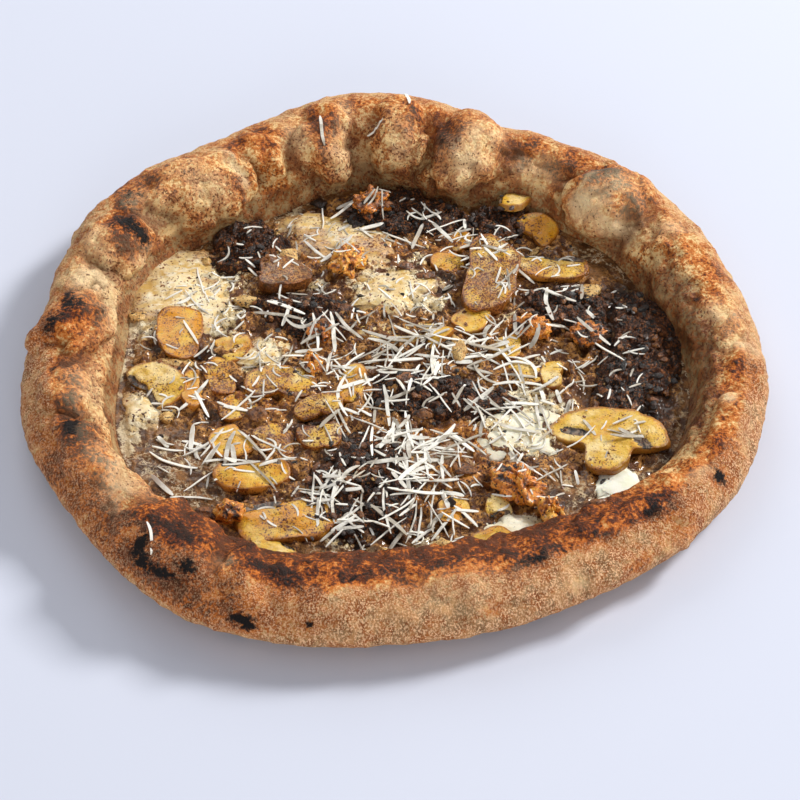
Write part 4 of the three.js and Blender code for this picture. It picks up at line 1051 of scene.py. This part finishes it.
def lay_surface(*pieces):
    """The highest level of the pieces over each small square of the plan, holes filled from
    their neighbours."""
    count = int(2 * SURFACE_HALF / SURFACE_CELL)
    level = np.zeros((count, count))
    for rings in pieces:
        points = rings.reshape(-1, 3)
        cells = ((points[:, :2] + SURFACE_HALF) / SURFACE_CELL).astype(int)
        np.maximum.at(level, (cells[:, 0], cells[:, 1]), points[:, 2])
    for _ in range(4):
        beside = np.max([np.roll(level, s, a) for s in (-1, 1) for a in (0, 1)], axis=0)
        level = np.where(level < 1, beside, level)
    return level


def level_at(level, x, y):
    """The surface level under points x, y."""
    cells = ((np.stack([x, y], -1) + SURFACE_HALF) / SURFACE_CELL).astype(int)
    return level[cells[..., 0], cells[..., 1]]


def scattered(draw, count, reach):
    """Offsets drawn at random, even over a disc: reach * sqrt(random) out, in any direction."""
    out = reach * np.sqrt(draw.random(count))
    around = draw.uniform(0, 2 * np.pi, count)
    return out * np.cos(around), out * np.sin(around)


level = lay_surface(wall, cream_rings, cheese_rings, heap_rings, slice_rings, sausage_rings)
# x, y, half sizes, turn, and what it is: 0 pale flesh, 1 browned, 2 nearly black, 3 orange.
BITS = [
    (-97, 0.5, 8.5, 3, 2, -12, 0), (-96, -32, 4.5, 6, 2.2, 20, 0), (-65, 38, 6.5, 4.5, 2.5, 15, 0),
    (21, -116, 8, 5, 2, 5, 0), (29, 8, 4.5, 7.5, 3, 10, 0), (-58.5, -34, 4.5, 4.5, 3, 0, 3),
    (15, -35, 4, 3, 2.2, 0, 3), (5, -15, 4.5, 3, 2.4, 20, 1), (10.5, -95.5, 3, 5, 2.6, 8, 1),
    (-75, -92, 6, 3.5, 2, -15, 1), (-34, 110, 4.5, 3.5, 2.4, 10, 2), (-16, 91, 4, 4, 2.6, 0, 2),
    (-43, 10, 3.5, 5, 2.6, 8, 3), (31, -65, 7, 4.5, 2.4, -8, 3), (25.3, -86.7, 2.6, 2.6, 2.2, 0, 2),
    (91, 46, 6, 5, 2.4, 0, 0), (67, 76, 7, 3, 2, 60, 0), (-50, 72, 7, 6, 2.4, 30, 0),
    (-22, 34, 5, 4, 2.4, 0, 1), (72, -86, 4, 3, 2, 30, 1), (-3, -110, 5, 3.5, 2, 0, 0),
    (85, -100, 6, 3, 2, 30, 1), (100, 45, 5, 3.5, 2.2, 70, 1), (-86, 68, 5, 3.5, 1.8, -30, 0),
    (-114, 30, 4, 3, 1.6, 0, 0), (6, 63, 5, 4, 2.2, 20, 1), (16, 55, 4, 3, 2, 0, 1),
]
# Chopped bits on the dark heaps, then crumbs everywhere: drawn at random, none on the rim.
draw = np.random.default_rng(11)
heap_x, heap_y, _, heap_half_x, heap_half_y, _, _ = np.array(list(HEAPS.values()), float).T
owner = np.repeat(np.arange(len(HEAPS)), (heap_half_x * heap_half_y / 6).astype(int))
out_x, out_y = scattered(draw, len(owner), 1)
chip_x = heap_x[owner] + heap_half_x[owner] * out_x
chip_y = heap_y[owner] + heap_half_y[owner] * out_y
chip_half = draw.uniform(0.7, 1.9, len(owner))
chip_sort = draw.choice([1, 2, 2, 2, 2, 2, 3], len(owner))
crumb_x, crumb_y = scattered(draw, CRUMBS, CRUMB_REACH)
chip_x = np.append(chip_x, crumb_x)
chip_y = np.append(chip_y, crumb_y)
chip_half = np.append(chip_half, draw.uniform(0.4, 1.1, CRUMBS))
chip_sort = np.append(chip_sort, draw.choice([0, 1, 1, 2, 2, 3], CRUMBS))
chip_rows = np.stack([
    chip_x, chip_y, chip_half * draw.uniform(0.9, 1.9, chip_x.size), chip_half,
    chip_half * draw.uniform(0.4, 0.8, chip_x.size), draw.uniform(0, 180, chip_x.size), chip_sort,
], -1)
foot = foot_radius(np.degrees(np.arctan2(chip_y, chip_x)))
on_base = np.hypot(chip_x, chip_y) < foot - FOOT_CLEARANCE
chip_rows = chip_rows[on_base & (level_at(level, chip_x, chip_y) < RIM_LEVEL)]
bit_rows = np.array(BITS, float)


def settled(rows):
    """Rows of centre, half sizes and turn, each piece sunk into what lies under it."""
    z = level_at(level, rows[:, 0], rows[:, 1]) + rows[:, 4] * (1 - 2 * BIT_SUNK)
    return np.column_stack([rows[:, 0], rows[:, 1], z, rows[:, 2:6]])


def chopped_pieces(rows, rings, steps, cuts, rough):
    """Chopped pieces with flat cuts: the reach towards a direction is the least of distance /
    cosine over some random cuts, at most 1.2, then scaled by the half sizes. rough noise is
    added to the reach."""
    x, y, z, rx, ry, rz, turn = rows.T[:, :, None, None]
    choose = np.random.default_rng(31)
    normals = choose.normal(size=(len(rows), cuts, 3))
    normals /= np.linalg.norm(normals, axis=-1, keepdims=True)
    distances = choose.uniform(0.45, 0.95, (len(rows), 1, 1, cuts))
    around = circle(steps)
    tilt = np.radians(np.linspace(-86, 86, rings))[:, None]
    way = np.cos(tilt) * np.cos(around), np.cos(tilt) * np.sin(around), np.sin(tilt) + 0 * around
    way = np.stack(way, -1)
    facing = np.maximum(np.einsum("rsk,ick->irsc", way, normals), 0.05)
    reach = np.minimum((distances / facing).min(-1), 1.2)
    spots = way * 4 + np.arange(len(rows))[:, None, None, None] * 31.7
    reach = reach * (1 + rough * layered(spots, 2.5, 3, 91))
    px, py = rotated(np.radians(turn), rx * reach * way[..., 0], ry * reach * way[..., 1], x, y)
    return np.stack([px, py, z + rz * reach * way[..., 2]], -1)


bit_rings = chopped_pieces(settled(bit_rows), 26, 44, 9, 0.25)
chip_rings = chopped_pieces(settled(chip_rows), 7, 10, 9, 0.0)
bits = make_piece("loose_bits", bit_rings, {"sort": bit_rows[:, 6, None, None]})
chopped = make_piece("chopped_bits", chip_rings, {"sort": chip_rows[:, 6, None, None]})
chopped.data.shade_flat()

crumb, at = new_finish("browned_bits")
coarse = at.noise(3.5, 4.0, 0.65)
fine = at.noise(1.1, 3.0, 0.6)
sort = at.mark("sort")
colour = painted(
    coarse.ease(0.35, 0.65).colours((190, 138, 68), (232, 194, 124)),
    (sort.ease(0.3, 0.7), coarse.ease(0.35, 0.65).colours((70, 38, 18), (150, 92, 44))),
    (sort.ease(1.3, 1.7), coarse.ease(0.42, 0.66).colours((11, 7, 5), (62, 34, 18))),
    (sort.ease(2.3, 2.7), coarse.ease(0.35, 0.65).colours((88, 46, 18), (150, 94, 38))),
    (at.flecks(0.7, 0.6), (56, 32, 18)),
)
coat(at, colour, 0.3 + fine * 0.35, coarse * 0.6 + fine * 0.7, 1.2, Coat_Weight=0.15, Coat_Roughness=0.2)
for piece in (bits, chopped):
    piece.data.materials.append(crumb)
    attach(piece, "root")

# ---------------------------------------------------------- the cheese shreds
# Hard cheese grated into flat shreds over the finished pizza. They lie across
# whatever is under them, some bent, a few curled, and a few fell on the rim.

# Where they lie thickest: x, y, spread, how many.
SHRED_PATCHES = [
    (10, 2, 20, 44), (-28, 6, 18, 18), (48, 4, 18, 24), (-8, -34, 20, 26), (12, -56, 18, 34),
    (-22, -86, 14, 28), (12, -90, 20, 36), (45, 68, 7, 16), (62, -30, 18, 16), (98, 2, 14, 4),
    (96, -46, 14, 8), (-72, -12, 22, 9), (-88, -64, 18, 16), (-20, 88, 22, 11), (20, 84, 16, 9),
    (-94, 36, 24, 6), (80, 30, 14, 6), (40, -114, 12, 7), (-20, -112, 14, 10), (56, 46, 12, 6),
    (30, -40, 20, 18), (-50, 30, 16, 4), (70, -60, 16, 8), (-60, -60, 14, 8),
]
SHRED_STEPS = 11
SHRED_THICKNESS = 0.22
SHREDS_PER_ROW = 1.2
SHRED_CLEARANCE = 3
MELTED_SHREDS = 520
MELTED_REACH = 112
shred_draw = np.random.default_rng(23)
patch = np.repeat(np.arange(len(SHRED_PATCHES)), [int(SHREDS_PER_ROW * row[3]) for row in SHRED_PATCHES])
patch_rows = np.array(SHRED_PATCHES, float)[patch]
count = len(patch)
out_x, out_y = scattered(shred_draw, count, patch_rows[:, 2])
shred_x = patch_rows[:, 0] + out_x
shred_y = patch_rows[:, 1] + out_y
heading = shred_draw.uniform(0, 2 * np.pi, count)
length = 7 + 18 * shred_draw.random(count) ** 1.5
bend = shred_draw.normal(0, 0.007, count) * (1 + 4 * (shred_draw.random(count) > 0.85))
width = 0.6 + 1.5 * shred_draw.random(count) ** 1.7


def ribbons(x, y, heading, length, bend, width, twist, limp=0.0):
    """Flat shreds, (items, rings, 4, 3): a strip bent in plan by bend * s^2, tapered at its
    ends, that lies on the highest points under it, straight as a stiff strip is, and is turned
    about its length by twist. limp, 0 to 1, lets it follow what is under it instead."""
    rows = x, y, heading, length, bend, width, twist
    x, y, heading, length, bend, width, twist = [row[:, None] for row in rows]
    s = np.linspace(-0.5, 0.5, SHRED_STEPS)[None, :] * length
    wiggle = 0.13 * np.sin(0.45 * s + 9 * heading) * np.sqrt(length / 20)
    px, py = rotated(heading, s, bend * s**2 + wiggle, x, y)
    under = level_at(level, px, py)
    middle_level = under.mean(1, keepdims=True)
    slope = ((under - middle_level) * s).sum(1, keepdims=True) / (s**2).sum(1, keepdims=True)
    straight = middle_level + slope * s
    stiff = straight + 0.55 * (under - straight).max(1, keepdims=True)
    pz = stiff * (1 - limp) + under * limp + 0.3
    taper = 1 - 0.55 * np.abs(np.linspace(-1, 1, SHRED_STEPS)[None, :]) ** 5
    half = width / 2 * taper
    tilt = twist * (0.5 + s / length)
    cosine = np.cos(heading)
    sine = np.sin(heading)
    flat_side = np.stack([-sine * np.cos(tilt), cosine * np.cos(tilt), np.sin(tilt)], -1)
    edge_up = np.stack([sine * np.sin(tilt), -cosine * np.sin(tilt), np.cos(tilt)], -1)
    middle = np.stack([px, py, pz], -1)
    thick = SHRED_THICKNESS * taper + 0 * half
    corners = [
        middle + flat_side * half[..., None] * a + edge_up * thick[..., None] * b
        for a, b in ((-1, -1), (1, -1), (1, 1), (-1, 1))
    ]
    return np.stack(corners, 2)


twist = shred_draw.normal(0, 0.4, count)
shred_rings = ribbons(shred_x, shred_y, heading, length, bend, width, twist)
shred_reach = np.hypot(shred_rings[..., 0], shred_rings[..., 1]).max((1, 2))
foot = foot_radius(np.degrees(np.arctan2(shred_y, shred_x)))
shred_rings = shred_rings[shred_reach < foot - SHRED_CLEARANCE]
# Single shreds on the rim: direction and section of one end, turn, length, bend, width.
RIM_SHREDS = [
    (86.5, 88, 96, 22, 0.004, 1.6), (105, 128, 98, 17, -0.004, 1.5),
    (234, 62, 100, 14, 0.02, 1.2), (95, 126, 20, 8, 0.03, 1.0),
]
rim_at, rim_section, rim_turn, rim_length, rim_bend, rim_shred_width = np.array(RIM_SHREDS, float).T
rim_turn = np.radians(rim_turn)
rim_start = rim_point(rim_at, rim_section)
rim_x = rim_start[:, 0] + rim_length / 2 * np.cos(rim_turn)
rim_y = rim_start[:, 1] + rim_length / 2 * np.sin(rim_turn)
rim_twist = np.full(len(RIM_SHREDS), 0.2)
rim_rings = ribbons(rim_x, rim_y, rim_turn, rim_length, rim_bend, rim_shred_width, rim_twist, 0.75)
# Shreds that half melted into the bed: thin, short and curled, everywhere on the base.
melted_rings = ribbons(
    *scattered(shred_draw, MELTED_SHREDS, MELTED_REACH),
    shred_draw.uniform(0, 2 * np.pi, MELTED_SHREDS),
    shred_draw.uniform(3, 10, MELTED_SHREDS),
    shred_draw.normal(0, 0.07, MELTED_SHREDS),
    shred_draw.uniform(0.5, 1.0, MELTED_SHREDS),
    shred_draw.normal(0, 0.3, MELTED_SHREDS),
)
melted_rings[..., 2] -= 0.25
melted_level = melted_rings[..., 2]
lies_flat = np.ptp(melted_level, axis=(1, 2)) < 4
melted_rings = melted_rings[lies_flat & (melted_level.max((1, 2)) < RIM_LEVEL)]
all_shreds = np.concatenate([shred_rings, rim_rings, melted_rings])
clearness = np.random.default_rng(41).random((len(all_shreds), 1, 1))
shreds = make_piece("cheese_shreds", all_shreds, {"clearness": clearness})
shreds.data.shade_flat()

grated, at = new_finish("grated_hard_cheese")
soft = at.noise(5, 3.0, 0.5)
whiteness = 1.1 - at.mark("clearness") + soft.swing(1.4)
colour = painted(
    whiteness.ease(0.0, 0.75).colours((172, 162, 146), (243, 240, 230)),
    (at.noise(9, 3.0, 0.5).ease(0.58, 0.7) * 0.45, (204, 184, 148)),
)
coat(at, colour, 0.42 + soft * 0.2, at.noise(0.8, 2.0, 0.5), 0.15,
     Subsurface_Weight=0.15, Subsurface_Radius=(0.002, 0.002, 0.0015))
shreds.data.materials.append(grated)
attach(shreds, "root")

# ------------------------------------------------------- floor, light, camera
# A plain pale table and soft studio light: a large soft lamp low at the right,
# a little behind the pizza, and an even pale sky that fills the shadows.
TABLE_HALF = 6
table_corners = [(x * TABLE_HALF, y * TABLE_HALF, 0) for x, y in ((-1, -1), (1, -1), (1, 1), (-1, 1))]
floor_mesh = bpy.data.meshes.new("floor")
floor_mesh.from_pydata(table_corners, [], [(0, 1, 2, 3)])
floor = bpy.data.objects.new("floor", floor_mesh)
bpy.context.scene.collection.objects.link(floor)
table, at = new_finish("pale_table")
table_colour = at.noise(400, 2.0, 0.5).colours((208, 214, 231), (212, 217, 233))
coat(at, table_colour, 0.8, at.noise(60), 0.01)
floor.data.materials.append(table)


def add_lamp(name, place, size, power, colour):
    """A square soft lamp that faces the pizza."""
    lamp = bpy.data.lights.new(name, "AREA")
    lamp.size = size
    lamp.energy = power
    lamp.color = colour
    holder = bpy.data.objects.new(name, lamp)
    bpy.context.scene.collection.objects.link(holder)
    holder.location = place
    holder.rotation_mode = "QUATERNION"
    holder.rotation_quaternion = (-Vector(place)).to_track_quat("-Z", "Y")


add_lamp("key_lamp", (2.4, 1.5, 1.9), 0.75, 122, (1.0, 0.985, 0.955))
add_lamp("back_fill", (-0.6, 2.0, 1.6), 1.5, 17, (1.0, 0.99, 0.97))
add_lamp("front_fill", (0.2, -2.2, 0.7), 1.2, 20, (1.0, 0.98, 0.95))
sky = bpy.data.worlds.new("pale_sky")
sky.use_nodes = True
sky.node_tree.nodes["Background"].inputs["Color"].default_value = (0.98, 0.98, 1.0, 1.0)
sky.node_tree.nodes["Background"].inputs["Strength"].default_value = 0.38
bpy.context.scene.world = sky
bpy.context.scene.view_settings.view_transform = "Standard"

# The view: how far over the table the camera looks down from, how far away it is, and the
# photo's focal length and width in pixels.
VIEW_HEIGHT = np.radians(45)
VIEW_DISTANCE = 1.0
FOCAL_PIXELS = 2303
PHOTO_PIXELS = 800
SENSOR = 36
aim = Vector((0.0022, -0.0327, 0.015))
back = Vector((0.0, -np.cos(VIEW_HEIGHT), np.sin(VIEW_HEIGHT)))
view = bpy.data.cameras.new("view")
view.lens = FOCAL_PIXELS * SENSOR / PHOTO_PIXELS
view.sensor_width = SENSOR
view.clip_start = 0.05
view.clip_end = 20
camera = bpy.data.objects.new("view", view)
bpy.context.scene.collection.objects.link(camera)
camera.location = aim + back * VIEW_DISTANCE
camera.rotation_mode = "QUATERNION"
camera.rotation_quaternion = (-back).to_track_quat("-Z", "Y")
bpy.context.scene.camera = camera
